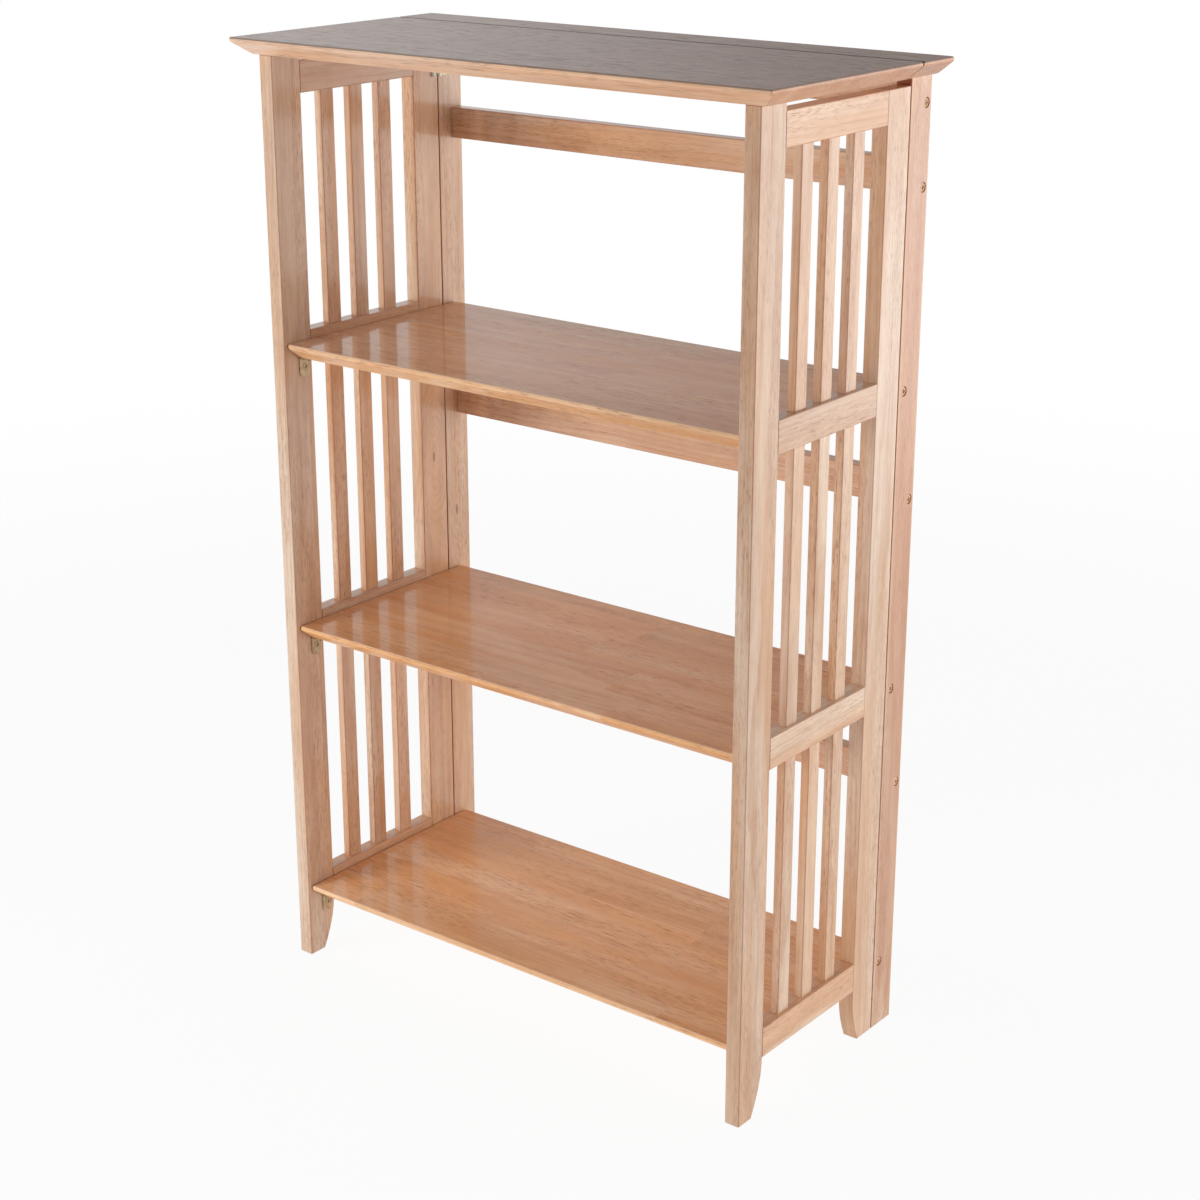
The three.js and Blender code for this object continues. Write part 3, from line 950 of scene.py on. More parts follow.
    def worn(self, graph: Graph, colour: Socket, mark: Socket, face: Socket) -> Socket:
        """Adds the arrises' colour, painted shade on the top's upper face, the darker end grain
        and painted shade in a gap. The arris colour is a painted highlight along a shelf's upper
        arris, and a darker line along the rounded edges of the frame and the top.

        Args:
            graph: the material's graph.
            colour: the wood's colour.
            mark: 1 on an arris and 2 on the upper face.
            face: 1 on the upper face.

        Returns:
            The colour with these.
        """
        # The arris colour: a painted highlight on a shelf's upper arris, a darker line elsewhere
        edge = graph.math("SUBTRACT", graph.math("MINIMUM", mark, 1.0), face)
        edge = graph.math("MULTIPLY", edge, self.arris_share)
        colour = graph.blend(edge, colour, linear(self.arris))
        # Painted shade on the top's upper face, multiplied in
        colour = graph.blend(face, colour, linear(self.face_tint), "MULTIPLY")
        end, offset, _ = graph.axes(graph.attribute("wear"))
        end = graph.ramp(end, *self.end_range)
        colour = graph.blend(end, colour, linear(self.end_tint), "MULTIPLY")
        # Painted shade in a gap: the faces nearest its middle darken, over a wider reach on the
        # top's upper face
        upper = graph.ramp(mark, *self.upper_range)
        reach = graph.math("MULTIPLY_ADD", upper, self.upper_joint_reach, self.joint_reach)
        distance = graph.math("DIVIDE", graph.math("ABSOLUTE", offset), reach)
        joint = graph.ramp(distance, *self.joint_range, self.joint_share, 0.0)
        return graph.blend(joint, colour, linear(self.joint))


@dataclass(frozen=True)
class MetalFinish:
    """A dull plated metal with fine rubbing marks and duller patches.

    Painted shade and grime darken its recesses, grooves, feet and cut ends.
    """

    name: str
    slot: str
    bright: Colour
    dull: Colour
    roughness: float
    metallic: float
    grime: Colour
    grime_share: float
    patch_range: Range = (0.35, 0.7)
    rub_roughness: float = 0.16
    bump_strength: float = 0.12
    bump_distance: float = 0.0001

    def material(self) -> bpy.types.Material:
        """Builds the finish's material, once.

        Returns:
            The material.
        """
        if self.name in bpy.data.materials:
            return bpy.data.materials[self.name]
        made, graph = new_material(self.name)
        place = graph.place()
        patches = graph.ramp(graph.noise(place, PATCHES), *self.patch_range)
        colour = graph.blend(patches, linear(self.bright), linear(self.dull))
        # Painted shade and grime darken the recesses, grooves, feet and cut ends
        shade_and_grime_mask = graph.math("MULTIPLY", graph.attribute("arris", "Fac"), self.grime_share)
        colour = graph.blend(shade_and_grime_mask, colour, linear(self.grime))
        marks = graph.noise(place, RUBBING)
        least = self.roughness - self.rub_roughness / 2
        rough = graph.math("MULTIPLY_ADD", marks, self.rub_roughness, least)
        graph.surface(
            {"Height": marks, "Strength": self.bump_strength, "Distance": self.bump_distance},
            {"Base Color": colour, "Roughness": rough, "Metallic": self.metallic})
        return made


FRAME_WOOD = WoodFinish(
    name="frame_hardwood", slot="frame_wood",
    pale=(240, 215, 190), warm=(236, 192, 152), deep=(200, 148, 110), pore=(146, 96, 70),
    arris=(186, 122, 94), arris_share=0.5, strip_width=0.3, block_length=100.0, strip_tone=0.04,
    ring_share=0.28, streak_share=0.24, cloud_share=0.44, pore_share=0.42,
    pore_scale=(85.0, 1300.0, 1300.0),
    roughness=0.4, specular=0.3, coat=1.0, coat_roughness=0.13,
)
SHELF_WOOD = WoodFinish(
    name="shelf_hardwood", slot="shelf_wood",
    pale=(250, 214, 176), warm=(244, 194, 142), deep=(218, 156, 108), pore=(146, 92, 62),
    # The light arris colour is a painted highlight along the shelf's upper arris
    arris=(255, 224, 196), arris_share=0.6, strip_width=0.064, block_length=0.44, strip_tone=0.1,
    ring_share=0.28, streak_share=0.2, cloud_share=0.46, pore_share=0.42,
    roughness=0.4, specular=0.25, coat=0.35, face_coat=0.35, coat_roughness=0.075,
)
TOP_WOOD = WoodFinish(
    name="top_hardwood", slot="top_wood",
    pale=(250, 222, 198), warm=(248, 208, 174), deep=(222, 172, 136), pore=(84, 60, 50),
    # The top's upper face gets painted shade, darker and greyer than its wood
    arris=(112, 96, 88), arris_share=0.7, face_tint=(204, 187, 186), face_pores=0.7,
    # Painted shade along the seam between the top's two boards, wider on the upper face
    pore_scale=(40.0, 700.0, 700.0), joint=(70, 50, 42), upper_joint_reach=0.003,
    strip_width=0.064, block_length=0.46, strip_tone=0.12,
    ring_share=0.3, streak_share=0.3, cloud_share=0.46, pore_share=0.3,
    roughness=0.42, specular=0.4, coat=0.9, face_coat=-0.4, coat_roughness=0.2,
)
# The last colour and share of each metal: painted shade and grime in recesses, grooves, at feet and
# cut ends
PLATE_METAL = MetalFinish(
    "plate_brass", "plate_metal", (212, 190, 152), (180, 156, 120), 0.42, 0.45, (44, 32, 26), 1.0)
HINGE_METAL = MetalFinish(
    "hinge_brass", "hinge_metal", (252, 242, 226), (230, 212, 184), 0.3, 0.6, (30, 20, 16), 1.0)
BOLT_METAL = MetalFinish(
    "bolt_brass", "bolt_metal", (236, 200, 164), (212, 170, 132), 0.45, 0.2, (166, 118, 88), 0.5)


# Pieces

# Where the knots that show lie, and places out of reach for boards with no knot or no joint
KNOTS = {
    "left_rear_upright": (-0.303, 0.138, 0.493),
    "left_rear_stile": (-0.303, 0.099, 0.568),
}
FAR_KNOT = (9.0, 9.0, 9.0)
FAR_JOINT = 9.0
# What a board's place in its tree, and its brightness, colour and depth, are drawn from
TREE_RANGES = ((0, 40), (-0.11, 0.11), (0.02, 0.1))
TEMPER_RANGES = ((0.965, 1.03), (0.93, 1.07), (-0.1, 0.1))


def mesh_object(name: str, shell: Shell, material: bpy.types.Material) -> bpy.types.Object:
    """Makes an object at the origin from a shell.

    Args:
        name: the object's name.
        shell: its surface.
        material: its material.

    Returns:
        The object, linked to the scene.
    """
    mesh = bpy.data.meshes.new(name)
    mesh.from_pydata(shell.points.tolist(), [], shell.faces)
    mesh.polygons.foreach_set("use_smooth", np.ones(len(mesh.polygons), bool))
    mesh.normals_split_custom_set_from_vertices(shell.normals.tolist())
    arris = mesh.attributes.new("arris", "FLOAT", "POINT")
    arris.data.foreach_set("value", shell.arris.astype(np.float32))
    mesh.materials.append(material)
    made = bpy.data.objects.new(name, mesh)
    bpy.context.scene.collection.objects.link(made)
    return made


def dress(
    name: str, shell: Shell, finish: WoodFinish | MetalFinish, body: str, node: str | None = None
) -> bpy.types.Object:
    """Makes a piece, hangs it on its body, and lets it stand for its CAD node.

    Args:
        name: the piece's name.
        shell: its surface, in place.
        finish: its finish.
        body: the CAD body that it moves with.
        node: the CAD node that it replaces, if it replaces one.

    Returns:
        The piece.
    """
    made = mesh_object(name, shell, finish.material())
    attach(made, body)
    if node:
        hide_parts(node)
    log.info("%s: %d points, rides on %s", name, len(shell.points), body)
    return made


def dress_board(
    node: str, shell: Shell, finish: WoodFinish, body: str, grain: Grain, tone: float = 1.0,
    joint: float = FAR_JOINT,
) -> None:
    """Makes a wooden piece with its own grain in the place of a CAD node.

    The grain attribute is the point's place along, across and through the board plus a
    random place of the board in its tree. The temper attribute holds the board's own
    brightness times its tone, colour strength and depth of figure; on a shelf the tone is
    painted light. The knot attribute is the point's place from the board's knot. A further
    attribute has how far the point shows end grain, and how far it lies from the middle of
    the gap at which the board folds or meets the next, where painted shade darkens it. What
    is random is drawn by the node's name, so it is the same on each run.

    Args:
        node: the CAD node.
        shell: the piece's surface, in place.
        finish: its finish.
        body: the CAD body that it moves with.
        grain: which way its grain runs.
        tone: brightness of this board against the others; on a shelf it is painted light,
        brighter the lower the shelf.
        joint: where a gap at which the board folds lies, from front to back.
    """
    made = dress(f"{node}_board", shell, finish, body, node)
    chance = np.random.default_rng(zlib.crc32(node.encode()))
    tree = np.array([chance.uniform(*pair) for pair in TREE_RANGES])
    temper = np.array([chance.uniform(*pair) for pair in TEMPER_RANGES]) * (tone, 1, 1)
    axes = list(grain.value)
    knot = np.array(KNOTS.get(node, FAR_KNOT))
    wear = np.zeros_like(shell.points)
    wear[:, 0] = np.abs(shell.normals[:, axes[0]])
    # How far the point lies from the middle of the gap, where painted shade darkens the wood
    wear[:, 1] = shell.points[:, 1] - joint
    for name, values in (
        ("grain", shell.points[:, axes] + tree),
        ("knot", (shell.points - knot)[:, axes]),
        ("wear", wear),
        ("temper", np.tile(temper, (len(wear), 1))),
    ):
        vectors = made.data.attributes.new(name, "FLOAT_VECTOR", "POINT")
        vectors.data.foreach_set("vector", values.astype(np.float32).ravel())


def corners(node: str) -> tuple[Array, Array]:
    """Lowest and highest corner of a CAD node, as arrays."""
    low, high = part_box(node)
    return np.array(low), np.array(high)


def joint_plane(front: str, rear: str) -> float:
    """The middle, from front to back, of the gap between two boards that fold apart."""
    return float(corners(front)[1][1] + corners(rear)[0][1]) / 2


@dataclass
class SideFrame:
    """A slatted side: two stiles, four rails, nine slats and three shelf plates."""

    side: Side
    slats: int = 3
    edge: float = 0.0012
    butt: float = 0.0002
    tapers: dict[str, float] = field(default_factory=lambda: {"front": 0.0188, "rear": 0.013})
    feet: dict[str, float] = field(default_factory=lambda: {"front": 0.065, "rear": 0.052})
    knee: float = 0.55
    foot_steps: int = 12
    front_tones: dict[Side, float] = field(
        default_factory=lambda: {Side.LEFT: 0.98, Side.RIGHT: 0.95})

    @property
    def body(self) -> str:
        """The CAD body that the side moves with."""
        return f"{self.side.word}_side"

    def build(self) -> None:
        """Makes every piece of the side."""
        self.stile("front", self.front_tones[self.side], FAR_JOINT)
        rear = joint_plane(f"{self.side.word}_rear_stile", f"{self.side.word}_rear_upright")
        self.stile("rear", 1.0, rear)
        for level in LEVELS:
            self.rail(level)
        for level, above in zip(SHELVES, LEVELS[1:]):
            for number in range(1, self.slats + 1):
                self.slat(level, above, number)
            ShelfPlate(self.side, level).build()

    def stile(self, which: str, tone: float, joint: float) -> None:
        """Makes the front or the rear stile.

        The foot's curved edge is quadratic: from the taper at the floor, by the knee, to
        the stile's full width at the top of the foot.

        Args:
            which: front or rear.
            tone: brightness of the stile.
            joint: where the gap that it folds at lies.
        """
        node = f"{self.side.word}_{which}_stile"
        low, high = corners(node)
        size = high - low
        foot = self.feet[which]
        t = np.linspace(0, 1, self.foot_steps + 1)
        across = size[1] - self.tapers[which] * (1 - t) ** 2
        up = 2 * t * (1 - t) * self.knee * foot + t**2 * foot
        curve = np.stack([across, up], axis=1)
        outline = np.vstack([[0, 0], curve, [size[1], size[2]], [0, size[2]]])
        if which == "rear":
            outline = (outline * (-1, 1) + (size[1], 0))[::-1]
        shell = soft_prism(outline, size[0], self.edge, self.edge).placed((1, 2, 0), low)
        dress_board(node, shell, FRAME_WOOD, self.body, Grain.ALONG_Z, tone, joint)

    def rail(self, level: str) -> None:
        """Makes the rail of a level, from one stile's face to the other's."""
        node = f"{self.side.word}_{level}_rail"
        low, high = corners(node)
        low[1] = corners(f"{self.side.word}_front_stile")[1][1]
        high[1] = corners(f"{self.side.word}_rear_stile")[0][1]
        size = high - low
        shell = soft_prism(rectangle(size[2], size[0]), size[1], self.edge, self.butt)
        dress_board(node, shell.placed((2, 0, 1), low), FRAME_WOOD, self.body, Grain.ALONG_Y)

    def slat(self, level: str, above: str, number: int) -> None:
        """Makes a slat, from one rail's face to the next one's."""
        node = f"{self.side.word}_{level}_slat_{number}"
        low, high = corners(node)
        low[2] = corners(f"{self.side.word}_{level}_rail")[1][2]
        high[2] = corners(f"{self.side.word}_{above}_rail")[0][2]
        size = high - low
        shell = soft_prism(rectangle(size[0], size[1]), size[2], self.edge, self.butt)
        dress_board(node, shell.placed(origin=low), FRAME_WOOD, self.body, Grain.ALONG_Z)


@dataclass
class ShelfPlate:
    """An angle plate under a shelf's front corner, with its screw."""

    side: Side
    level: str
    thickness: float = 0.0015
    corner: float = 0.005
    corner_steps: int = 8
    bend: float = 0.0022
    bend_steps: int = 6
    ease: float = 0.0003
    screw: DrivenHead = DrivenHead(0.0036, 0.001, 0.56, 0.001)
    screw_drop: float = 0.0105
    screw_sink: float = 0.0002

    def build(self) -> None:
        """Makes the plate: up from its rounded foot, round the bend and out under the shelf."""
        node = f"{self.side.word}_{self.level}_shelf_plate"
        low, high = corners(node)
        size = high - low
        half = size[1] / 2
        t = np.linspace(0, np.pi / 2, self.corner_steps + 1)
        rise = self.corner * (1 - np.cos(t))
        narrow = half - self.corner * (1 - np.sin(t))
        turn = np.linspace(0, np.pi / 2, self.bend_steps + 1)
        arc_out = np.stack([-np.cos(turn), np.sin(turn)], axis=1)
        centre = np.array([self.bend, size[2] - self.bend])
        arc = centre + arc_out * (self.bend - self.thickness)
        leg = np.stack([np.full_like(rise, self.thickness), rise], axis=1)
        path = np.vstack([leg, arc, [size[0], size[2] - self.thickness]])
        out = np.vstack([np.tile([-1.0, 0.0], (len(leg), 1)), arc_out, [0.0, 1.0]])
        width = np.concatenate([narrow, np.full(len(arc) + 1, half)])
        plate = bent_strip(path, out, width, self.thickness, self.ease)
        spot = (self.thickness - self.screw_sink, 0, size[2] - self.screw_drop)
        whole = joined([plate, self.screw.shell().placed((1, 2, 0), spot)])
        if self.side is Side.RIGHT:
            whole = whole.mirrored()
        x = high[0] if self.side is Side.RIGHT else low[0]
        placed = whole.placed(origin=(x, (low[1] + high[1]) / 2, low[2]))
        dress(f"{node}_angle", placed, PLATE_METAL, f"{self.side.word}_side", node)


def outwards(shell: Shell, side: Side) -> Shell:
    """Lays a shell's local axis 2 on the side's way out, and its axes 0 and 1 on Y and Z."""
    shell = shell.placed((1, 2, 0))
    return shell.mirrored() if side is Side.LEFT else shell


@dataclass
class BackFrame:
    """The uprights, the back rails, their screws and the shelves' pivot bolts."""

    edge: float = 0.0012
    butt: float = 0.0002
    pocket_depth: float = Pocket.depth
    screw: DrivenHead = DrivenHead(0.0049, 0.003, 0.5, 0.0012)
    screw_below_middle: float = 0.011
    head_rise: float = 0.0025
    head_recess: float = 0.5
    recess_depth: float = 0.0016
    hexagon_flare: float = 0.06
    shank_radius: float = 0.003
    shank_ease: float = 0.0006
    shank_overlap: float = 0.0002
    body: str = "back_frame"

    def build(self) -> None:
        """Makes every piece of the back."""
        for side in Side:
            self.upright(side)
            for level in SHELVES:
                self.pivot_bolt(side, level)
            for level in LEVELS:
                self.rail_screw(side, level)
        for level in LEVELS:
            self.back_rail(level)

    def screw_spot(self, level: str) -> tuple[float, float]:
        """Where a back rail's screws lie: from front to back, and how high."""
        low, high = corners("lower_back_rail")
        depth = (low[1] + high[1]) / 2
        low, high = corners(f"{level}_back_rail")
        return depth, (low[2] + high[2]) / 2 - self.screw_below_middle

    def upright(self, side: Side) -> None:
        """Makes a rear upright with a pocket for each bolt and each screw."""
        node = f"{side.word}_rear_upright"
        low, high = corners(node)
        size = high - low
        pockets = []
        for level in SHELVES:
            middle = sum(corners(f"{side.word}_{level}_pivot_bolt")) / 2 - low
            pockets.append(Pocket(middle[1], middle[2]))
        for level in LEVELS:
            depth, height = self.screw_spot(level)
            pockets.append(Pocket(depth - low[1], height - low[2]))
        shell = soft_prism(
            rectangle(size[1], size[2]), size[0], self.edge, self.edge, pockets=pockets)
        x = high[0] if side is Side.LEFT else low[0]
        shell = outwards(shell, side).placed(origin=(x, low[1], low[2]))
        joint = joint_plane(f"{side.word}_rear_stile", node)
        dress_board(node, shell, FRAME_WOOD, self.body, Grain.ALONG_Z, joint=joint)

    def back_rail(self, level: str) -> None:
        """Makes a rail between the uprights."""
        node = f"{level}_back_rail"
        low, high = corners(node)
        size = high - low
        shell = soft_prism(rectangle(size[1], size[2]), size[0], self.edge, self.butt)
        dress_board(node, shell.placed((1, 2, 0), low), FRAME_WOOD, self.body, Grain.RAIL_X)

    def pivot_bolt(self, side: Side, level: str) -> None:
        """Makes a bolt: a nearly flat head with a six-sided recess, and its shank."""
        node = f"{side.word}_{level}_pivot_bolt"
        low, high = corners(node)
        size, middle = high - low, (low + high) / 2
        head = DrivenHead(
            size[2] / 2, self.head_rise, self.head_recess, self.recess_depth, 6,
            self.hexagon_flare)
        foot = size[0] - self.head_rise
        reach = np.full(3, self.shank_radius)
        reach[0] -= self.shank_ease
        steps = np.array([0.0, self.shank_ease, foot + self.shank_overlap])
        shank = turned_form(reach, steps, head.columns // 2)
        whole = joined([head.shell().placed(origin=(0, 0, foot)), shank])
        x = high[0] if side is Side.LEFT else low[0]
        whole = outwards(whole, side).placed(origin=(x, middle[1], middle[2]))
        dress(f"{node}_metal", whole, BOLT_METAL, self.body, node)

    def rail_screw(self, side: Side, level: str) -> None:
        """Makes the nearly flat head of a back rail's screw, on the floor of its pocket."""
        low, high = corners(f"{side.word}_rear_upright")
        outer = low[0] if side is Side.LEFT else high[0]
        place = (outer - side.value * self.pocket_depth, *self.screw_spot(level))
        head = outwards(self.screw.shell(), side).placed(origin=place)
        dress(f"{side.word}_{level}_back_rail_screw", head, BOLT_METAL, self.body)


@dataclass
class Hinge:
    """A butt hinge opened flat: two leaves, a barrel in knuckles, and four screws.

    A knuckle holds the barrel's radius at its two ends and shoulders, as shares. Rows thinner
    than a given share, in the grooves between knuckles and at the barrel's ends, are darkened
    with painted shade and grime.
    """

    node: str
    body: str = "back_frame"
    gap: float = 0.0003
    knuckles: int = 5
    knuckle: tuple[float, ...] = (0.7, 0.86, 1.0, 1.0, 0.86, 0.7)
    grime_below: float = 0.8
    groove: float = 0.00025
    barrel_radius: float = 0.0024
    barrel_columns: int = 28
    leaf_thickness: float = 0.0012
    leaf_start: float = 0.6
    leaf_inset: float = 0.0002
    leaf_eases: Range = (0.0004, 0.0003)
    leaf_steps: int = 2
    screw: DrivenHead = DrivenHead(0.0031, 0.0007, 0.42, 0.0006)
    screw_edge: float = 0.004
    screw_share: float = 0.56
    screw_sink: float = 0.0003

    def barrel(self, length: float) -> Shell:
        """The barrel: its radius drops in the grooves between the knuckles."""
        edges = np.linspace(0, length, self.knuckles + 1)
        start, end, ease = edges[:-1], edges[1:], self.groove
        rows = [start, start + ease / 2, start + ease, end - ease, end - ease / 2, end]
        height = np.stack(rows, axis=1).ravel()
        share = np.tile(self.knuckle, self.knuckles)
        keep = np.concatenate([[True], np.diff(height) > NO_LENGTH])
        # Grooves and barrel ends thinner than the share get painted shade and grime
        marks = (share < self.grime_below).astype(float)
        reach = share * self.barrel_radius
        return turned_form(reach[keep], height[keep], self.barrel_columns, marks[keep])

    def shell(self, length: float, width: float) -> Shell:
        """The hinge with its pin along the local axis 2, lying on the plane 0 = 0.

        Args:
            length: length of the barrel.
            width: width over both leaves.

        Returns:
            The surface, from height 0 to length.
        """
        parts = [self.barrel(length).placed(origin=(self.gap + self.barrel_radius, 0, 0))]
        root = self.barrel_radius * self.leaf_start
        outline = rectangle(width / 2 - root, length - 2 * self.leaf_inset)
        leaf = soft_prism(outline, self.leaf_thickness, *self.leaf_eases, self.leaf_steps)
        front = self.gap + self.leaf_thickness - self.screw_sink
        for sign, start in ((-1, -width / 2), (1, root)):
            parts.append(leaf.placed((1, 2, 0), (self.gap, start, self.leaf_inset)))
            for end in (-1, 1):
                across = sign * (width / 2 - self.screw_edge)
                up = length / 2 + end * length * self.screw_share / 2
                parts.append(self.screw.shell().placed((1, 2, 0), (front, across, up)))
        return joined(parts)

    def build(self) -> None:
        """Makes the hinge where its CAD node is."""
        low, high = corners(self.node)
        size, middle = high - low, (low[1] + high[1]) / 2
        if "top" in self.node:
            made = self.shell(size[0], size[1]).mirrored()
            made = made.placed((2, 1, 0), (low[0], middle, high[2] + self.gap))
        elif "left" in self.node:
            made = self.shell(size[2], size[1])
            made = made.placed(origin=(low[0] - self.gap, middle, low[2]))
        else:
            made = self.shell(size[2], size[1]).mirrored()
            made = made.placed(origin=(high[0] + self.gap, middle, low[2]))
        dress(f"{self.node}_metal", made.clean(), HINGE_METAL, self.body, self.node)


@dataclass
class TopBoards:
    """The wide front board of the top and the strip behind its seam."""

    work: EdgeWork = EdgeWork(square_radius=0.003, mark_depth=0.0016)

    def build(self) -> None:
        """Makes both boards."""
        ends = {"left": Edge.NOSED, "right": Edge.NOSED, "back": Edge.SQUARE}
        seam = joint_plane("top_front_board", "top_rear_strip")
        for node, front, body in (
            ("top_front_board", Edge.NOSED, "top_board"),
            ("top_rear_strip", Edge.SQUARE, "back_frame"),
        ):
            shell = worked_board(*corners(node), {**ends, "front": front}, self.work)
            dress_board(node, shell, TOP_WOOD, body, Grain.ALONG_X, joint=seam)


@dataclass
class Shelf:
    """A shelf of glued strips, bevelled at the front."""

    level: str
    work: EdgeWork = EdgeWork()

    def build(self) -> None:
        """Makes the shelf."""
        node = f"{self.level}_shelf"
        edges = dict.fromkeys(("left", "right", "back"), Edge.SQUARE)
        shell = worked_board(*corners(node), {**edges, "front": Edge.NOSED}, self.work)
        # The shelf's tone is painted light, brighter the lower the shelf
        dress_board(node, shell, SHELF_WOOD, node, Grain.ALONG_X, SHELF_PAINTED_LIGHT[self.level])


# Studio


def linked(
    name: str, data: bpy.types.ID, place: Triple, turn: Sequence[float]
) -> bpy.types.Object:
    """An object of a lamp or a camera, put and turned in the scene."""
    made = bpy.data.objects.new(name, data)
    made.location = place
    made.rotation_euler = turn
    bpy.context.scene.collection.objects.link(made)
    return made


@dataclass(frozen=True)
class Lamp:
    """A soft box: a square lamp that looks at a point."""

    name: str
    place: Triple
    aim: Triple
    size: float
    level: float

    def build(self) -> None:
        """Adds the lamp. Its power is pi squared times distance squared times the level, so
        that a level of 1 shows a facing white surface as white."""
        data = bpy.data.lights.new(self.name, "AREA")
        data.shape = "SQUARE"
        data.size = self.size
        along = Vector(self.aim) - Vector(self.place)
        data.energy = math.pi**2 * along.length_squared * self.level
        made = linked(self.name, data, self.place, along.to_track_quat("-Z", "Y").to_euler())
        made.visible_glossy = False


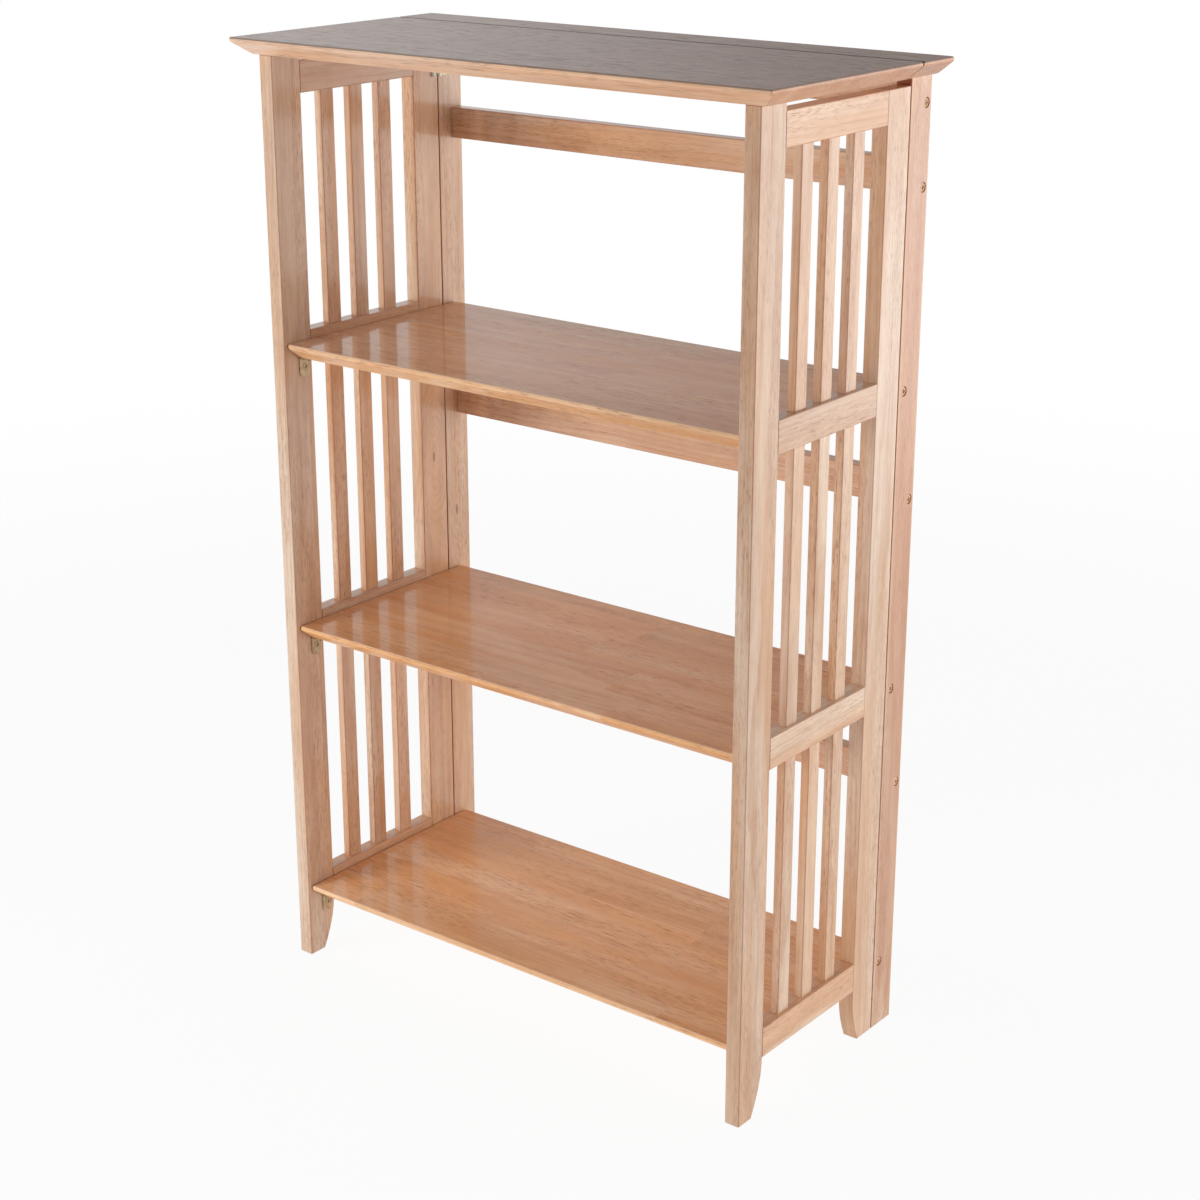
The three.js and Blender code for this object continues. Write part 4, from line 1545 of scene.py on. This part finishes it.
@dataclass
class Studio:
    """The pale floor, the white surroundings, the lamps and the camera.

    A side is a direction of the world, and a range gives the two levels of the direction's
    axis, or of its agreement with a side, between which something comes in.
    """

    camera_place: Triple = (1.53129, -1.93180, 1.35636)
    camera_turn: Triple = (70.42, 0.0, 37.92)
    lens: float = 70.95
    sensor: float = 36.0
    sight: float = 100.0
    floor_start: float = 0.02
    floor_reach: float = 3.2
    floor_rings: int = 12
    floor_columns: int = 96
    floor_drop: float = 0.0003
    floor_grey: float = 0.9
    floor_glow: float = 0.68
    seen_glow: float = 0.26
    mirrored_glow: float = -0.2
    floor_fade: Range = (0.35, 0.98)
    ambient_colour: tuple[float, ...] = (1.0, 0.99, 0.98, 1)
    ambient_range: Range = (0.35, 0.8)
    ambient_levels: Range = (0.62, 0.1)
    dim_side: Triple = (0.6, -0.8, 0.0)
    dim_range: Range = (0.1, 0.95)
    dim_level: float = 0.35
    gap_place: float = -0.3
    gap_range: Range = (0.18, 0.45)
    gap_level: float = 0.4
    front_range: Range = (-0.6, 0.0)
    front_level: float = 0.5
    box_side: Triple = (0.47, 0.88, 0.0)
    box_range: Range = (0.92, 0.985)
    box_top: Range = (0.0, 0.06)
    box_level: float = 1.4
    lamps: tuple[Lamp, ...] = (
        Lamp("front_left_box", (-1.15, -1.8, 0.8), (-0.1, 0.0, 0.55), 0.7, 0.54),
        Lamp("right_box", (2.4, 0.75, 0.6), (0.0, 0.0, 0.5), 1.5, 0.47),
    )

    def build(self) -> None:
        """Makes everything that isn't the bookcase."""
        self.floor()
        self.surroundings()
        for lamp in self.lamps:
            lamp.build()
        self.camera()

    def floor(self) -> None:
        """Makes the floor: a round sheet of rings at even steps of the radius."""
        reach = np.linspace(self.floor_start, self.floor_reach, self.floor_rings)
        angle = np.arange(self.floor_columns) / self.floor_columns * 2 * np.pi
        spokes = np.stack([np.cos(angle), np.sin(angle), np.zeros_like(angle)], axis=-1)
        points = (reach[:, None, None] * spokes - (0, 0, self.floor_drop)).reshape(-1, 3)
        normals = np.tile([0.0, 0.0, 1.0], (len(points), 1))
        faces = band_faces(self.floor_rings, self.floor_columns)
        faces.append(list(range(self.floor_columns)))
        shell = Shell(points, normals, np.zeros(len(points)), faces).clean()
        mesh_object("studio_floor", shell, self.floor_material())

    def floor_material(self) -> bpy.types.Material:
        """A pale floor that keeps the shadow, and fades into the white surroundings."""
        made, graph = new_material("studio_floor")
        path = graph.node("ShaderNodeLightPath").outputs
        glow = graph.math("MULTIPLY_ADD", path["Is Camera Ray"], self.seen_glow, self.floor_glow)
        glow = graph.math("MULTIPLY_ADD", path["Is Glossy Ray"], self.mirrored_glow, glow)
        grey = (self.floor_grey, self.floor_grey, self.floor_grey, 1)
        matt = graph.node("ShaderNodeBsdfDiffuse", {"Color": grey}).outputs[0]
        white = graph.node("ShaderNodeEmission", {"Color": (1, 1, 1, 1), "Strength": 1.0})
        clear = graph.node("ShaderNodeBsdfTransparent").outputs[0]
        far = graph.vector("LENGTH", graph.place(), result="Value")
        fade = graph.ramp(far, *(self.floor_reach * share for share in self.floor_fade))
        lit = graph.mixed(glow, matt, white.outputs[0])
        graph.node("ShaderNodeOutputMaterial", {"Surface": graph.mixed(fade, lit, clear)})
        return made

    def surroundings(self) -> None:
        """Sets the world: white to the camera, and a soft grey light to all matt surfaces.

        Gloss mirrors a white room with a darker band behind, a dimmer front and a bright
        box low at the right rear. All of it depends on the world's directions only.
        """
        world = bpy.data.worlds.new("studio")
        bpy.context.scene.world = world
        world.use_nodes = True
        graph = Graph(world.node_tree)
        path = graph.node("ShaderNodeLightPath").outputs
        mirrored = path["Is Glossy Ray"]
        seen = graph.math("MAXIMUM", path["Is Camera Ray"], mirrored)
        seen = graph.math("MAXIMUM", seen, path["Is Transmission Ray"])
        direction = graph.place("Generated")
        x, y, z = graph.axes(direction)
        level = graph.ramp(z, *self.ambient_range, *self.ambient_levels)
        dim = graph.vector("DOT_PRODUCT", direction, self.dim_side, result="Value")
        level = graph.math("MULTIPLY", level, graph.ramp(dim, *self.dim_range, 1.0, self.dim_level))
        inputs = {"Color": self.ambient_colour, "Strength": level}
        soft = graph.node("ShaderNodeBackground", inputs).outputs[0]
        gap = graph.math("ABSOLUTE", graph.math("SUBTRACT", x, self.gap_place))
        gap = graph.ramp(gap, *self.gap_range, self.gap_level, 1.0)
        front = graph.ramp(y, *self.front_range, self.front_level, 1.0)
        box = graph.vector("DOT_PRODUCT", direction, self.box_side, result="Value")
        box = graph.ramp(box, *self.box_range, 0.0, self.box_level)
        box = graph.math("MULTIPLY", box, graph.ramp(z, *self.box_top, 1.0, 0.0))
        room = graph.math("ADD", graph.math("MULTIPLY", gap, front), box)
        strength = graph.node("ShaderNodeMix", {0: mirrored, 2: 1.0, 3: room}).outputs[0]
        inputs = {"Color": (1, 1, 1, 1), "Strength": strength}
        white = graph.node("ShaderNodeBackground", inputs).outputs[0]
        graph.node("ShaderNodeOutputWorld", {"Surface": graph.mixed(seen, soft, white)})

    def camera(self) -> None:
        """Adds the camera where the photograph was taken from."""
        data = bpy.data.cameras.new("photo_camera")
        data.lens = self.lens
        data.sensor_width = self.sensor
        data.clip_end = self.sight
        turn = tuple(math.radians(a) for a in self.camera_turn)
        bpy.context.scene.camera = linked("photo_camera", data, self.camera_place, turn)


def clear_defaults() -> None:
    """Removes what a new Blender file holds besides the frame."""
    for name in ("Cube", "Light", "Camera"):
        found = bpy.data.objects.get(name)
        if found and "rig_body" not in found:
            bpy.data.objects.remove(found)


def main() -> None:
    """Builds the bookcase and its studio."""
    logging.basicConfig(level=logging.INFO, format="%(message)s")
    clear_defaults()
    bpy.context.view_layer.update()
    bpy.context.scene.view_settings.view_transform = "Standard"
    Studio().build()
    BackFrame().build()
    for side in Side:
        SideFrame(side).build()
        for place in ("lower", "upper", "top"):
            Hinge(f"{side.word}_{place}_hinge").build()
    for level in SHELVES:
        Shelf(level).build()
    TopBoards().build()


if __name__ == "__main__":
    main()
